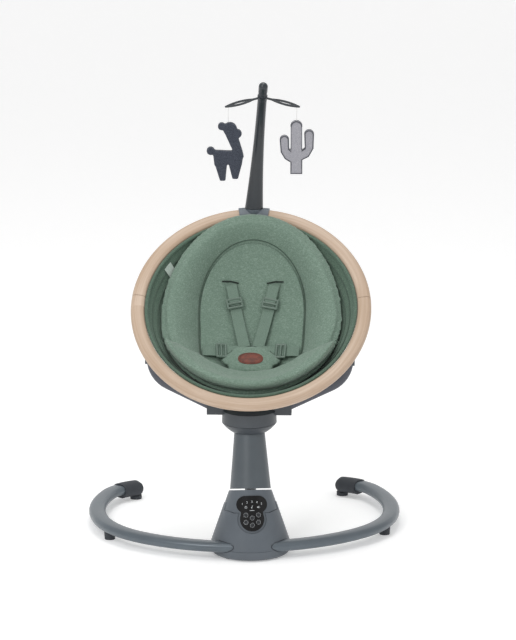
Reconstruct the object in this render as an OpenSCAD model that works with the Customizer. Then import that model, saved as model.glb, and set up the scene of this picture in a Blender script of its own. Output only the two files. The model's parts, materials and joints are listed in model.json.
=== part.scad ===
// Baby swing: a round wooden hoop seat on a yoke and a leaning post, over a C-shaped floor frame.
// Millimetres, +Z up, +Y towards the back. The origin is the centre of the housing's underside.

/* [Floor frame] */
// Radius of the C-shaped frame's front curve, on the tube's centre line
front_r = 370; // [340:1:400]
// Distance from the housing's centre back to the centre of the front curve
frame_back = 313; // [283:1:330]
// Radius of the curve at each front shoulder
shoulder_r = 236; // [210:1:260]
// Radius of the curve along each side
side_r = 330; // [300:1:400]
// Radius of the tighter curve at each rear corner
corner_r = 110; // [95:1:130]
// Width of the flat oval tube
tube_w = 37; // [32:0.5:44]
// Height of the flat oval tube
tube_h = 21; // [18:0.5:24]
// Wall of the tube
tube_wall = 1.5; // [1.2:0.1:2]
// Height of the tube's centre line above the floor
tube_z = 27; // [24:0.5:32]

/* [Housing] */
// Radius of the housing at its skirt
housing_r = 86; // [80:1:96]
// Height of the skirt that closes the housing at the floor
skirt_h = 22; // [18:1:26]
// Radius of the rim under the post
rim_r = 47; // [44:0.5:50]
// Height of the rim's centre above the floor
rim_z = 137; // [125:1:150]
// Moulded wall of the housing and the post
wall = 3; // [2.4:0.1:3.6]

/* [Control panel] */
// Width of the panel's wide upper part
panel_w = 66; // [60:1:68]
// Radius of the panel's round lower part
panel_low_r = 26; // [22:0.5:28]
// Height of the panel along its slope
panel_h = 76; // [72:1:80]
// Radius of a push button
button_r = 3.4; // [2.8:0.1:4]
// Travel of a push button
button_travel = 0.8; // [0.5:0.1:1.2]

/* [Post] */
// Lean of the swing axis towards the back, in degrees
lean = 16; // [12:0.5:18]
// Radius at the foot of the post
post_r = 44; // [41:0.5:46]
// Radius at the top of the post
post_top_r = 30.5; // [26:0.5:34]
// Distance along the swing axis from the rim to the hub's seam
hub_rise = 147; // [135:1:170]
// Radius of the steel swing shaft
shaft_r = 12; // [9:0.5:13]

/* [Hub and yoke] */
// Radius of the hub at its seam
hub_r = 59; // [54:1:64]
// Height of the hub above its seam
hub_h = 27; // [24:1:30]
// Radius of the swivel pin
pin_r = 14; // [11:0.5:16]
// Height of the yoke's flat oval section
yoke_h = 22; // [18:0.5:26]
// Depth of the yoke's flat oval section
yoke_d = 15; // [12:0.5:18]
// Radius of the yoke's bend, on its centre line
yoke_bend = 57; // [45:1:64]
// Turn of the whole seat about the hub, in degrees
seat_turn = -5.5; // [-45:0.5:45]

/* [Hoop] */
// Radius of the hoop on its centre line
hoop_r = 245; // [225:1:255]
// Width of the hoop's oval section
hoop_w = 30; // [26:0.5:34]
// Thickness of the hoop's oval section
hoop_t = 20; // [17:0.5:23]
// Tilt of the hoop from level, in degrees
hoop_tilt = 42.8; // [36:0.2:50]
// Distance of the hoop's centre behind the hub
hoop_y = 100; // [90:1:110]
// Height of the hoop's centre above the hub's seam
hoop_z = 225; // [215:1:240]
// Angle above the hoop's middle at which its lower piece ends
joint_angle = 6.3; // [4:0.1:10]

/* [Soft seat] */
// Depth of the fabric bucket below the hoop
bucket_depth = 125; // [105:1:130]
// Thickness of the bucket's fabric wall
liner_t = 5; // [4:0.5:7]
// Thickness of the seat pad
pad_t = 26; // [20:1:32]
// Thickness of the padded panel in the middle of the pad
panel_t = 7; // [5:0.5:10]
// Width of the harness webbing
strap_w = 25; // [20:1:28]

/* [Toy arm] */
// Radius of the toy arm's forward curve
arm_bend = 470; // [420:1:520]
// Angle through which the toy arm curves
arm_angle = 38; // [34:1:42]
// Width of the toy arm at its foot
arm_w = 40; // [32:1:44]
// Width of the toy arm at its end
arm_end_w = 20; // [17:0.5:24]
// Turn of the toy arm on its stem, in degrees
arm_turn = 2; // [-30:1:30]
// Lean of the toy arm to its side, in degrees
arm_lean = 4; // [-8:0.5:8]
// Distance from the arm to each end of the crossbar
bar_reach = 84; // [70:1:95]
// Length of the string above each toy
string_l = 32; // [30:1:45]

/* [Hidden] */
$fn = 48;

eps = 0.01;
far = 2000;
// Radial clearance of a pin or shaft that turns in its bore
running = 0.05;
// Clearance round a piece that sits in a pocket
fit = 0.2;
// Clearance between pieces that move past each other
gap = 0.4;

// How far from the middle each tube ends inside the housing
frame_in = 40;
frame_start = -acos(frame_in / front_r);
// The frame's arcs in order: radius, and the angle at which each one ends
tube_stop = 70;
FRAME_ARCS = [[front_r, -50], [shoulder_r, -12], [side_r, 24], [corner_r, tube_stop]];
cap_start = 47;
nose = 15;
cap_w = tube_w + 6;
cap_top = tube_z + tube_h / 2 + 3;
cap_low = 8;
foot_angle = -25;
foot_r = 13;

slope = (housing_r - rim_r) / (rim_z - skirt_h);
slope_angle = atan(slope);
shoulder_drop = 25;
plate_t = 5;
inset = 1.2;
inlet_z = 48;
plate_z = 3;
floor_top = 6;
screw_at = [52, 26, 0];
screw_r = 2;
screw_head_r = 4;
boss_r = 6;
boss_top = 30;
panel_z = 101;
panel_round = 18;
panel_rise = 1;
waist = 4.5;
board_depth = 13.6;
board_t = 1.6;

hub_y = hub_rise * sin(lean);
hub_z = rim_z + hub_rise * cos(lean);
post_gap = 3;
post_l = hub_rise;
bowl_r = 72;
bowl_up = sqrt(bowl_r * bowl_r - hub_r * hub_r);
bowl_floor = -14;
bowl_low = bowl_up - bowl_r;
seam = 0.8;
socket_x = 91;
socket_z = 40;

bearing_r = 19;
bearing_top = -5 - fit;
bearing_l = 48;
flange_r = 34;
lever_z = bearing_top - bearing_l - 9;
lever_l = 34;
magnet_r = 8;
coil_drop = 17;

liner_r = hoop_r - hoop_w / 2 - 4;
seat_mid = -60;
bowl_power = 2.4;
liner_rim = 2;
pad_side = 0.88;
// Heights of the pad and of its middle panel above the liner
pad_lift = 2;
panel_lift = pad_lift + pad_t + 1;

pivot_x = 213;
pivot_v = -111;
pivot_n = -28;
pivot_y = hoop_y + pivot_v * cos(hoop_tilt) - pivot_n * sin(hoop_tilt);
pivot_z = hoop_z + pivot_v * sin(hoop_tilt) + pivot_n * cos(hoop_tilt);
eye_r = 13;
eye_t = 10;
recline_pin_r = 5;
yoke_rise = 21;
yoke_end = 80;
yoke_yaw = atan(pivot_y / (pivot_x - socket_x));
yoke_s = (pivot_x - socket_x) / cos(yoke_yaw);
yoke_up = pivot_z - socket_z;
// The two straight runs of the yoke, so that its bend meets both
run_s = yoke_s - yoke_bend * (sin(yoke_end) - sin(yoke_rise));
run_z = yoke_up - yoke_bend * (cos(yoke_rise) - cos(yoke_end));
run_d = sin(yoke_end - yoke_rise);
run_1 = (run_s * sin(yoke_end) - run_z * cos(yoke_end)) / run_d;
run_2 = (run_z * cos(yoke_rise) - run_s * sin(yoke_rise)) / run_d;

stem_y = hoop_y + (hoop_r + 4) * cos(hoop_tilt);
stem_z = hoop_z + (hoop_r + 4) * sin(hoop_tilt) + 14;
stem_r = 7;
stem_l = 26;
bar_drop = 15;
leaf_roll = 20;
leaf_l = 66;
leaf_w = 15;
bar_t = 4;
collar_t = 8;
spigot_r = 5;
arm_stop = arm_angle - 5;
band_t = 3;
neck_l = 6;
cap_l = 16;
BAND_STOPS = [fit, band_t + 3 * fit + collar_t, 2 * band_t + 3 * fit + collar_t + neck_l];
string_r = 0.6;
toy_t = 14;

// Frames: each places its children on the swing axis, on the hub, in the hoop or on the toy arm
module on_swing_axis() translate([0, 0, rim_z]) rotate([-lean, 0, 0]) children();
module on_hub() translate([0, hub_y, hub_z]) rotate([0, 0, seat_turn]) children();
module on_hoop() on_hub() translate([0, hoop_y, hoop_z]) rotate([hoop_tilt, 0, 0]) children();
module on_stem() on_hub() translate([0, stem_y, stem_z]) rotate([0, 0, arm_turn]) children();
module on_panel() {
    translate([0, -cone_r(panel_z) + inset, panel_z]) rotate([90 - slope_angle, 0, 0]) children();
}
module both_sides() {
    children();
    mirror([1, 0, 0]) children();
}

// Outer radius of the housing's cone at a height
function cone_r(z) = housing_r - (z - skirt_h) * slope;

// A flat oval, w wide and h high
module oval(w, h) {
    square([w - h, h], center = true);
    translate([(w - h) / 2, 0]) circle(d = h);
    translate([(h - w) / 2, 0]) circle(d = h);
}

// Solid cone of the housing between two heights, drawn in by an inset
module cone(z0, z1, draw) {
    translate([0, 0, z0]) cylinder(h = z1 - z0, r1 = cone_r(z0) - draw, r2 = cone_r(z1) - draw);
}

// Half space above a height on the swing axis
module above(z) {
    on_swing_axis() translate([0, 0, z + far / 2]) cube(far, center = true);
}

// ---- Skins ----
// Closed surface over rings of equal length, in order: each end is closed, or the last ring meets the first
module skin(rings, loop = false) {
    n = len(rings[0]);
    last = len(rings) - 1;
    points = [for (ring = rings) each ring];
    sides = [for (i = [0 : loop ? last : last - 1], j = [0 : n - 1])
        let (a = i * n, b = (i == last ? 0 : i + 1) * n, k = (j + 1) % n)
            each quad(a + j, a + k, b + k, b + j)];
    ends = loop ? [] : [[for (j = [n - 1 : -1 : 0]) j], [for (j = [0 : n - 1]) last * n + j]];
    polyhedron(points, concat(sides, ends));
}

function quad(a, b, c, d) = [[a, b, c], [a, c, d]];

// Point of a flat oval at an angle round it
function oval_point(w, h, p) = [(w - h) / 2 * sign(cos(p)) + h / 2 * cos(p), h / 2 * sin(p)];

// ---- Floor frame ----
// The frame's centre line at an angle of its curves, and its section there
function arc_of(a, i = 0) = i == len(FRAME_ARCS) - 1 || a <= FRAME_ARCS[i][1] ? i : arc_of(a, i + 1);
function arc_centre(i) = i == 0 ? [0, frame_back]
    : arc_centre(i - 1) + (FRAME_ARCS[i - 1][0] - FRAME_ARCS[i][0])
        * [cos(FRAME_ARCS[i - 1][1]), sin(FRAME_ARCS[i - 1][1])];
function frame_at(a) = arc_centre(arc_of(a)) + FRAME_ARCS[arc_of(a)][0] * [cos(a), sin(a)];
function frame_ring(a, w, h, z, ahead = 0, n = 16) = [for (j = [0 : n - 1])
    let (p = 360 * (j + 0.5) / n, q = oval_point(w, h, p), c = frame_at(a))
        [c.x + q.x * cos(a) - ahead * sin(a), c.y + q.x * sin(a) + ahead * cos(a), z + q.y]];

frame_rings = 30;
frame_stops = [for (i = [0 : frame_rings]) frame_start + (tube_stop - frame_start) * i / frame_rings];

// Room for the tube in what it passes through
module frame_room(grow) {
    translate([0, frame_back, tube_z]) rotate([0, 0, frame_start - 0.2])
        rotate_extrude(angle = 23) translate([front_r, 0]) oval(tube_w + grow, tube_h + grow);
}

module frame_tube() {
    bore_w = tube_w - 2 * tube_wall;
    bore_h = tube_h - 2 * tube_wall;
    last = len(frame_stops) - 1;
    color("slategray") skin(concat(
        [for (a = frame_stops) frame_ring(a, tube_w, tube_h, tube_z)],
        [for (i = [last : -1 : 0]) frame_ring(frame_stops[i], bore_w, bore_h, tube_z)]
    ), loop = true);
}

// Rubber cap: a pocket for the tube inside a fuller skin with a round nose
module tube_end_cap() {
    pocket_w = tube_w + fit;
    pocket_h = tube_h + fit;
    mid = (cap_top + cap_low) / 2;
    high = cap_top - cap_low;
    stops = [for (i = [0 : 5]) cap_start + (tube_stop - cap_start) * i / 5];
    color("dimgray") skin(concat(
        [for (i = [5 : -1 : 0]) frame_ring(stops[i], pocket_w, pocket_h, tube_z)],
        [for (a = stops) frame_ring(a, cap_w, high, mid)],
        [for (t = [12 : 15 : 87]) frame_ring(tube_stop, (cap_w - high) + high * cos(t), high * cos(t), mid,
            nose * sin(t))]
    ));
}

module frame_feet() {
    color("black") both_sides() {
        translate(concat(frame_at(foot_angle), 0))
            cylinder(h = tube_z - tube_h / 2, r1 = foot_r - 1.5, r2 = foot_r - 0.5);
        translate(concat(frame_at(tube_stop), 0)) cylinder(h = cap_low, r = foot_r);
    }
}

// ---- Housing ----
module base_plate() {
    color("slategray") difference() {
        union() {
            translate([0, 0, plate_z]) cylinder(h = 5, r1 = housing_r - 4, r2 = housing_r);
            translate([0, 0, 8]) cylinder(h = skirt_h - 8.5, r = housing_r);
            coil_post();
            at_screws() translate([0, 0, 8]) cylinder(h = boss_top - 8, r = boss_r);
        }
        translate([0, 0, floor_top]) difference() {
            cylinder(h = skirt_h, r = housing_r - wall);
            at_screws() cylinder(h = skirt_h, r = boss_r);
            translate([0, 0, -floor_top]) coil_post();
        }
        both_sides() frame_room(2 * gap);
        at_screws() cylinder(h = 2 * boss_top, r = screw_r + running);
        at_screws() cylinder(h = floor_top + fit, r = screw_head_r + fit);
    }
}

module at_screws() both_sides() translate(screw_at) children();

// Leaning post that holds the drive coil under the lever
module coil_post() {
    difference() {
        on_swing_axis() translate([0, lever_l, lever_z - coil_drop - 60]) cylinder(h = 60, r = 8);
        translate([0, 0, floor_top - 1 - far / 2]) cube(far, center = true);
    }
}

module base_pads() {
    color("black") {
        cylinder(h = plate_z, r = 10);
        for (a = [45 : 90 : 315]) rotate([0, 0, a]) translate([housing_r - 20, 0, 0]) cylinder(h = plate_z, r = 10);
    }
}

module housing_screws() {
    color("silver") at_screws() {
        translate([0, 0, plate_z]) cylinder(h = floor_top - plate_z, r = screw_head_r);
        translate([0, 0, floor_top - eps]) cylinder(h = boss_top + 10 - floor_top, r = screw_r);
    }
}

// Outline of the front tongue: it runs round the panel and flares to the shoulders
module tongue_outline(grow) {
    panel_outline(waist + grow);
    polygon([
        [-60, 60], [60, 60], [60, 12 - grow], [panel_w / 2 + waist + grow, 2 - grow],
        [-panel_w / 2 - waist - grow, 2 - grow], [-60, 12 - grow]
    ]);
}

// Wide round shoulders above a smaller round foot
module panel_outline(grow) {
    top = panel_h / 2 - panel_round;
    side = panel_w / 2 - panel_round;
    low = -panel_h / 2 + panel_low_r;
    translate([-side, top]) circle(r = panel_round + grow);
    translate([side, top]) circle(r = panel_round + grow);
    translate([-side, top - panel_round - grow]) square([2 * side, 2 * (panel_round + grow)]);
    translate([0, low]) circle(r = panel_low_r + grow);
    polygon([
        [-panel_low_r - grow + 1, low], [panel_low_r + grow - 1, low],
        [side + 8, top - 8], [-side - 8, top - 8]
    ]);
}

module tongue_prism(grow) {
    on_panel() translate([0, 0, -40]) linear_extrude(80) tongue_outline(grow);
}

module housing_shell() {
    color("darkslategray") difference() {
        cone(skirt_h, rim_z, 0);
        difference() {
            cone(skirt_h - eps, rim_z + eps, wall);
            screw_bosses();
        }
        at_screws() cylinder(h = boss_top + 12, r = screw_r + running);
        above(-shoulder_drop);
        tongue_prism(gap);
        both_sides() frame_room(2 * gap);
        translate([0, 0, inlet_z]) rotate([-90, 0, 0]) cylinder(h = housing_r + 10, r = 8 + fit);
    }
}

// Bosses inside the shell that the two screws run up into, each on a rib from the wall
module screw_bosses() {
    at_screws() translate([0, 0, boss_top + fit]) {
        cylinder(h = 14, r = boss_r);
        rotate([0, 0, atan(screw_at.y / screw_at.x)]) translate([0, -boss_r, 0]) cube([40, 2 * boss_r, 14]);
    }
}

// Collar under the post, closed by a top plate, with the tongue that carries the control panel
module housing_front() {
    low = skirt_h + 10;
    top = rim_z + 20;
    color("slategray") difference() {
        intersection() {
            cone(low, top, inset);
            union() {
                tongue_prism(-gap);
                above(gap - shoulder_drop);
            }
        }
        difference() {
            cone(low - eps, top + eps, inset + wall);
            above(-plate_t);
        }
        above(0);
        on_swing_axis() translate([0, 0, -10]) cylinder(h = 12, r = shaft_r + 3);
        buttons_at() translate([0, 0, -20]) cylinder(h = 40, r = button_r + gap);
    }
}

module control_panel() {
    color("black") difference() {
        intersection() {
            on_panel() translate([0, 0, -40]) linear_extrude(80) panel_outline(0);
            difference() {
                cone(skirt_h, rim_z + 20, -panel_rise);
                cone(skirt_h - eps, rim_z + 20 + eps, inset);
            }
        }
        buttons_at() translate([0, 0, -20]) cylinder(h = 40, r = button_r + gap);
    }
}

// Places of the six buttons on the panel: two rows of two, with one between and one below
button_x = 13.5;
button_rows = [-3, -9.5, -18.5, -25];
BUTTON_PLACES = [
    [-button_x, button_rows[0]], [button_x, button_rows[0]], [0, button_rows[1]],
    [-button_x, button_rows[2]], [button_x, button_rows[2]], [0, button_rows[3]]
];

module buttons_at() {
    on_panel() for (p = BUTTON_PLACES) translate([p.x, p.y, 0]) children();
}

module button(i) {
    p = BUTTON_PLACES[i];
    r = cone_r(panel_z + p.y);
    face = sqrt(r * r - p.x * p.x) - r + panel_rise + 1;
    color("dimgray") on_panel() translate([p.x, p.y, 0]) {
        translate([0, 0, -11.5]) cylinder(h = 11.5 + face, r = button_r);
        translate([0, 0, -11.5]) cylinder(h = 1.5, r = button_r + 1.4);
    }
}

module panel_board() {
    color("darkgreen") on_panel() translate([-21, -panel_h / 2 + 6, -board_depth - board_t])
        cube([42, panel_h - 16, board_t]);
}

module swing_bearing() {
    color("silver") on_swing_axis() difference() {
        union() {
            translate([0, 0, bearing_top - bearing_l]) cylinder(h = bearing_l, r = bearing_r);
            translate([0, 0, bearing_top - 4]) cylinder(h = 4, r = flange_r);
        }
        translate([0, 0, bearing_top - bearing_l - 1]) cylinder(h = bearing_l + 2, r = shaft_r + running);
    }
}

module drive_coil() {
    color("chocolate") on_swing_axis() translate([0, lever_l, lever_z - coil_drop]) difference() {
        cylinder(h = 12, r = 13);
        translate([0, 0, -1]) cylinder(h = 14, r = 5);
    }
}

module speaker() {
    color("black") translate([0, -38, floor_top]) {
        cylinder(h = 5, r = 24);
        translate([0, 0, 5 - eps]) cylinder(h = 12, r1 = 20, r2 = 12);
    }
}

module power_inlet() {
    y = cone_r(inlet_z);
    color("black") translate([0, y - 14, inlet_z]) rotate([-90, 0, 0]) difference() {
        union() {
            cylinder(h = 15, r = 8);
            cylinder(h = 6, r = 10);
        }
        translate([0, 0, 3]) cylinder(h = 20, r = 3.2);
    }
}

// ---- Post ----
module post_shell() {
    color("darkslategray") difference() {
        on_swing_axis() translate([0, 0, post_gap]) difference() {
            cylinder(h = post_l, r1 = post_r, r2 = post_top_r);
            difference() {
                translate([0, 0, 5]) cylinder(h = post_l, r1 = post_r - wall, r2 = post_top_r - wall);
                cylinder(h = 50, r = shaft_r + 4);
            }
            translate([0, 0, -1]) cylinder(h = 60, r = shaft_r + 0.01);
        }
        translate([0, hub_y, hub_z + bowl_up]) sphere(r = bowl_r + fit);
    }
}

module swing_shaft() {
    color("silver") on_swing_axis() translate([0, 0, lever_z - 4])
        cylinder(h = post_gap + 60 - lever_z, r = shaft_r);
}

module drive_lever() {
    color("silver") on_swing_axis() translate([0, 0, lever_z]) difference() {
        union() {
            cylinder(h = 6, r = shaft_r + 5);
            translate([-7, 0, 0]) cube([14, lever_l, 6]);
            translate([0, lever_l, 0]) cylinder(h = 6, r = magnet_r + 3);
        }
        translate([0, 0, -1]) cylinder(h = 8, r = shaft_r + 0.02);
        translate([0, lever_l, -1]) cylinder(h = 5, r = magnet_r + 0.1);
    }
}

module drive_magnet() {
    color("gray") on_swing_axis() translate([0, lever_l, lever_z - 1]) cylinder(h = 5 - fit, r = magnet_r);
}

module hub_bowl() {
    color("darkslategray") translate([0, hub_y, hub_z]) difference() {
        intersection() {
            translate([0, 0, bowl_up]) sphere(r = bowl_r);
            translate([0, 0, bowl_low]) cylinder(h = -bowl_low, r = hub_r + 5);
        }
        intersection() {
            translate([0, 0, bowl_up]) sphere(r = bowl_r - wall);
            translate([0, 0, bowl_floor]) cylinder(h = far, r = hub_r);
        }
        translate([0, 0, bowl_floor - 8]) cylinder(h = 20, r = pin_r);
    }
}

module swivel_pin() {
    color("silver") translate([0, hub_y, hub_z]) {
        translate([0, 0, bowl_floor - 8]) cylinder(h = hub_h - bowl_floor + 4, r = pin_r);
        translate([0, 0, bowl_floor]) cylinder(h = 6, r = pin_r + 12);
    }
}

// ---- Hub housing and yoke ----
module hub_housing() {
    color("darkslategray") on_hub() difference() {
        union() {
            translate([0, 0, seam]) cylinder(h = hub_h - seam, r1 = hub_r, r2 = hub_r - 1);
            translate([0, 0, hub_h - eps]) cylinder(h = 8, r1 = hub_r - 2, r2 = hub_r - 10);
            both_sides() translate([hub_r - 12, -14, hub_h - 9]) cube([socket_x - hub_r + 12, 28, 28]);
        }
        difference() {
            translate([0, 0, seam - 1]) cylinder(h = hub_h - wall + 1, r = hub_r - wall - 1);
            cylinder(h = far, r = pin_r + 6);
            both_sides() translate([hub_r - 16, -14, hub_h - 9]) cube([20, 28, 28]);
        }
        translate([0, 0, -1]) cylinder(h = hub_h + 1, r = pin_r + running);
        both_sides() yoke_run(2 * fit);
    }
}

// The yoke's straight run in its socket, up to its bend
module yoke_run(grow) {
    translate([socket_x, 0, socket_z]) rotate([0, 0, yoke_yaw]) rotate([0, 90 - yoke_rise, 0])
        translate([0, 0, -24]) linear_extrude(run_1 + 24) oval(yoke_h + grow, yoke_d + grow);
}

module yoke_arm() {
    stops = concat(
        [yoke_ring(-24, 0, yoke_rise), yoke_ring(run_1, 0, yoke_rise)],
        [for (i = [1 : 7]) yoke_ring(run_1, (yoke_end - yoke_rise) * i / 7, yoke_rise)],
        [yoke_ring(run_1, yoke_end - yoke_rise, yoke_rise, run_2)]
    );
    color("darkslategray") difference() {
        union() {
            translate([socket_x, 0, socket_z]) rotate([0, 0, yoke_yaw]) skin(stops);
            translate([pivot_x - eye_t / 2, pivot_y, pivot_z]) rotate([0, 90, 0])
                cylinder(h = eye_t, r = eye_r);
        }
        translate([pivot_x - 40, pivot_y, pivot_z]) rotate([0, 90, 0])
            cylinder(h = 80, r = recline_pin_r + running);
        translate([pivot_x + eye_t / 2, pivot_y - 30, pivot_z - 14]) cube([40, 60, 60]);
        translate([pivot_x - eye_t / 2 - 40, pivot_y - 30, pivot_z - 8]) cube([40, 60, 60]);
    }
}

// A ring of the yoke: run along its first straight, turned through part of its bend, and on along its second
function yoke_ring(run, turn, rise, on = 0, n = 16) =
    let (a = rise + turn,
        s = run * cos(rise) + yoke_bend * (sin(a) - sin(rise)) + on * cos(a),
        z = run * sin(rise) + yoke_bend * (cos(rise) - cos(a)) + on * sin(a))
    [for (j = [0 : n - 1]) let (q = oval_point(yoke_h, yoke_d, 360 * (j + 0.5) / n))
        [s - q.x * sin(a), q.y, z + q.x * cos(a)]];

module hub_screws() {
    color("silver") on_hub() both_sides() translate([hub_r + 12, -15.5, hub_h + 4]) rotate([-90, 0, 0])
        cylinder(h = 1.5, r = 4);
}

// ---- Hoop ----
module hoop_piece(start, end, grow) {
    rotate([0, 0, start]) rotate_extrude(angle = end - start)
        translate([hoop_r, 0]) oval(hoop_w + grow, hoop_t + grow);
}

// Curved steel dowels that join the hoop's pieces at its two side seams
module dowels(grow) {
    for (a = [joint_angle, 180 - joint_angle])
        rotate([0, 0, a - 4]) rotate_extrude(angle = 8) translate([hoop_r, 0]) circle(r = 4 + grow);
}

seam_angle = 0.12;
hoop_end = 86.5;
module hoop_lower() {
    color("burlywood") on_hoop() difference() {
        hoop_piece(180 - joint_angle + seam_angle, 360 + joint_angle - seam_angle, 0);
        dowels(fit);
    }
}

module hoop_upper() {
    difference() {
        hoop_piece(joint_angle + seam_angle, hoop_end, 0);
        dowels(fit);
    }
}

// Sleeve round the two upper ends of the hoop, solid between them, with the bore for the toy arm
module arm_socket() {
    color("dimgray") on_hub() difference() {
        union() {
            translate([0, hoop_y, hoop_z]) rotate([hoop_tilt, 0, 0]) hoop_piece(82.5, 97.5, 8);
            translate([0, stem_y, stem_z - stem_l - 4]) cylinder(h = stem_l + 3, r1 = 19, r2 = 17);
        }
        translate([0, hoop_y, hoop_z]) rotate([hoop_tilt, 0, 0])
            both_sides() hoop_piece(75, hoop_end + seam_angle, 2 * running);
        translate([0, stem_y, stem_z - stem_l]) cylinder(h = far, r = stem_r + running);
        translate([0, stem_y, stem_z - 1]) cylinder(h = far, r = arm_w / 2 + 2);
    }
}

// Bracket under the hoop with the ear that the recline pin passes through
module hoop_bracket() {
    difference() {
        union() {
            translate([pivot_x + eye_t / 2 + gap, pivot_y, pivot_z]) rotate([0, 90, 0])
                cylinder(h = 7, r = eye_r);
            translate([pivot_x + eye_t / 2 + gap, pivot_y, pivot_z]) rotate([hoop_tilt, 0, 0])
                translate([0.5, -10, 0]) cube([6, 20, -pivot_n - hoop_t / 2 - 0.02]);
        }
        translate([pivot_x, pivot_y, pivot_z]) rotate([0, 90, 0])
            cylinder(h = 40, r = recline_pin_r + 0.01);
    }
}

module recline_pins() {
    color("silver") on_hub() both_sides() {
        translate([pivot_x - eye_t / 2 - 4, pivot_y, pivot_z]) rotate([0, 90, 0])
            cylinder(h = eye_t + 4 + gap + 7, r = recline_pin_r);
        translate([pivot_x - eye_t / 2 - 4, pivot_y, pivot_z]) rotate([0, 90, 0])
            cylinder(h = 4 - gap, r = recline_pin_r + 3);
    }
}

// ---- Soft seat ----
// The seat's surfaces are bowls in the hoop: rays run from the deepest point to a round rim
function seat_rho(x, v) =
    let (a = seat_mid * seat_mid - liner_r * liner_r, b = seat_mid * (v - seat_mid),
        c = x * x + (v - seat_mid) * (v - seat_mid))
    (-b - sqrt(b * b - a * c)) / a;
function seat_depth(rho) = liner_rim - bucket_depth * (1 - pow(rho, bowl_power));
function on_seat(rho, phi, h) = [
    rho * liner_r * cos(phi),
    seat_mid * (1 - rho) + rho * liner_r * sin(phi),
    seat_depth(rho) + h
];
function seat_point(x, v, h) = [x, v, seat_depth(seat_rho(x, v)) + h];

// Closed cushion between two surfaces: reach() is its rim and the heights are below and above
module cushion(reach_side, reach_top, reach_low, low, high, edge, rings = 7, sides = 40) {
    function reach(phi) = reach_side
        + (sin(phi) > 0 ? reach_top - reach_side : reach_low - reach_side) * sin(phi) * sin(phi);
    function swell(t) = high - (high - low - edge) * pow(t, 6);
    ring_count = rings * sides;
    upper = [for (i = [1 : rings], j = [0 : sides - 1])
        let (phi = j * 360 / sides, t = i / rings) on_seat(t * reach(phi), phi, swell(t))];
    lower = [for (i = [1 : rings], j = [0 : sides - 1])
        let (phi = j * 360 / sides, t = i / rings) on_seat(t * reach(phi), phi, low)];
    points = concat(upper, lower, [on_seat(0, 0, high)], [on_seat(0, 0, low)]);
    top_mid = 2 * ring_count;
    low_mid = top_mid + 1;
    last = (rings - 1) * sides;
    faces = concat(
        [for (j = [0 : sides - 1]) [top_mid, (j + 1) % sides, j]],
        [for (i = [0 : rings - 2], j = [0 : sides - 1]) each quad(
            i * sides + j, i * sides + (j + 1) % sides,
            (i + 1) * sides + (j + 1) % sides, (i + 1) * sides + j)],
        [for (j = [0 : sides - 1]) each quad(
            last + j, last + (j + 1) % sides,
            ring_count + last + (j + 1) % sides, ring_count + last + j)],
        [for (i = [0 : rings - 2], j = [0 : sides - 1]) each quad(
            ring_count + (i + 1) * sides + j, ring_count + (i + 1) * sides + (j + 1) % sides,
            ring_count + i * sides + (j + 1) % sides, ring_count + i * sides + j)],
        [for (j = [0 : sides - 1]) [low_mid, ring_count + j, ring_count + (j + 1) % sides]]
    );
    polyhedron(points, faces);
}

module bucket_liner() {
    color("seagreen") on_hoop() cushion(0.995, 0.995, 0.995, -liner_t, 0, liner_t);
}

module seat_pad() {
    color("darkseagreen") on_hoop() cushion(pad_side, 0.97, 0.935, pad_lift, pad_lift + pad_t, 14);
}

module centre_panel() {
    color("darkseagreen") on_hoop() cushion(0.495, 0.84, 0.56, panel_lift, panel_lift + panel_t, 3);
}

harness_h = panel_lift + panel_t + 1;

// Flat webbing laid on the seat from one place to another
module webbing(from, to, width, lift, thick, steps = 8) {
    run = to - from;
    side = [-run.y, run.x] / norm(run) * width / 2;
    rings = [for (i = [0 : steps]) [for (q = [[-1, 0], [-1, thick], [1, thick], [1, 0]])
        let (p = from + run * i / steps)
            seat_point(p.x + q.x * side.x, p.y + q.x * side.y, lift + q.y)]];
    skin(rings);
}

strap_t = 2;
shoulder_top = [48, 101];
shoulder_low = [14, -44];
waist_in = [28, -60];
waist_out = [98, -86];

module shoulder_strap() webbing(shoulder_top, shoulder_low, strap_w, harness_h, strap_t);
module waist_strap() webbing(waist_in, waist_out, strap_w, harness_h, strap_t);

// A frame buckle that slides on the webbing
module adjuster(from, to, along) {
    p = from + (to - from) * along;
    q = seat_point(p.x, p.y, harness_h + strap_t + 1.8);
    ahead = seat_point(p.x + (to - from).x * 0.05, p.y + (to - from).y * 0.05, harness_h + strap_t + 1.8);
    turn = atan2((to - from).y, (to - from).x);
    pitch = atan2(ahead.z - q.z, norm([ahead.x - q.x, ahead.y - q.y]));
    translate(q) rotate([0, 0, turn]) rotate([0, -pitch, 0]) translate([-9, -strap_w / 2 - 3, 0]) difference() {
        cube([18, strap_w + 6, 3.5]);
        translate([3, 3, -1]) cube([4.5, strap_w, 6]);
        translate([10.5, 3, -1]) cube([4.5, strap_w, 6]);
    }
}

module strap_adjusters() {
    color("darkslategray") on_hoop() both_sides() {
        adjuster(shoulder_top, shoulder_low, 0.33);
        adjuster(waist_in, waist_out, 0.55);
    }
}

buckle_mid = -96;
buckle_w = 44;
buckle_l = 46;
buckle_t = 14;
buckle_tip = -12;
buckle_lift = harness_h + 3;
buckle_button_r = 9;
buckle_button_out = 1.5;
cover_t = 4;
badge_t = 1.6;

module on_buckle() {
    on_hoop() translate(seat_point(0, buckle_mid, buckle_lift)) rotate([buckle_tip, 0, 0]) children();
}

module buckle() {
    color("dimgray") on_buckle() difference() {
        translate([-buckle_w / 2, -buckle_l / 2, 0]) cube([buckle_w, buckle_l, buckle_t]);
        translate([0, 0, 4]) cylinder(h = buckle_t, r = buckle_button_r + gap);
    }
}

module buckle_button() {
    color("red") on_buckle() translate([0, 0, 7]) cylinder(h = buckle_t - 7 + buckle_button_out, r = buckle_button_r);
}

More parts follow.
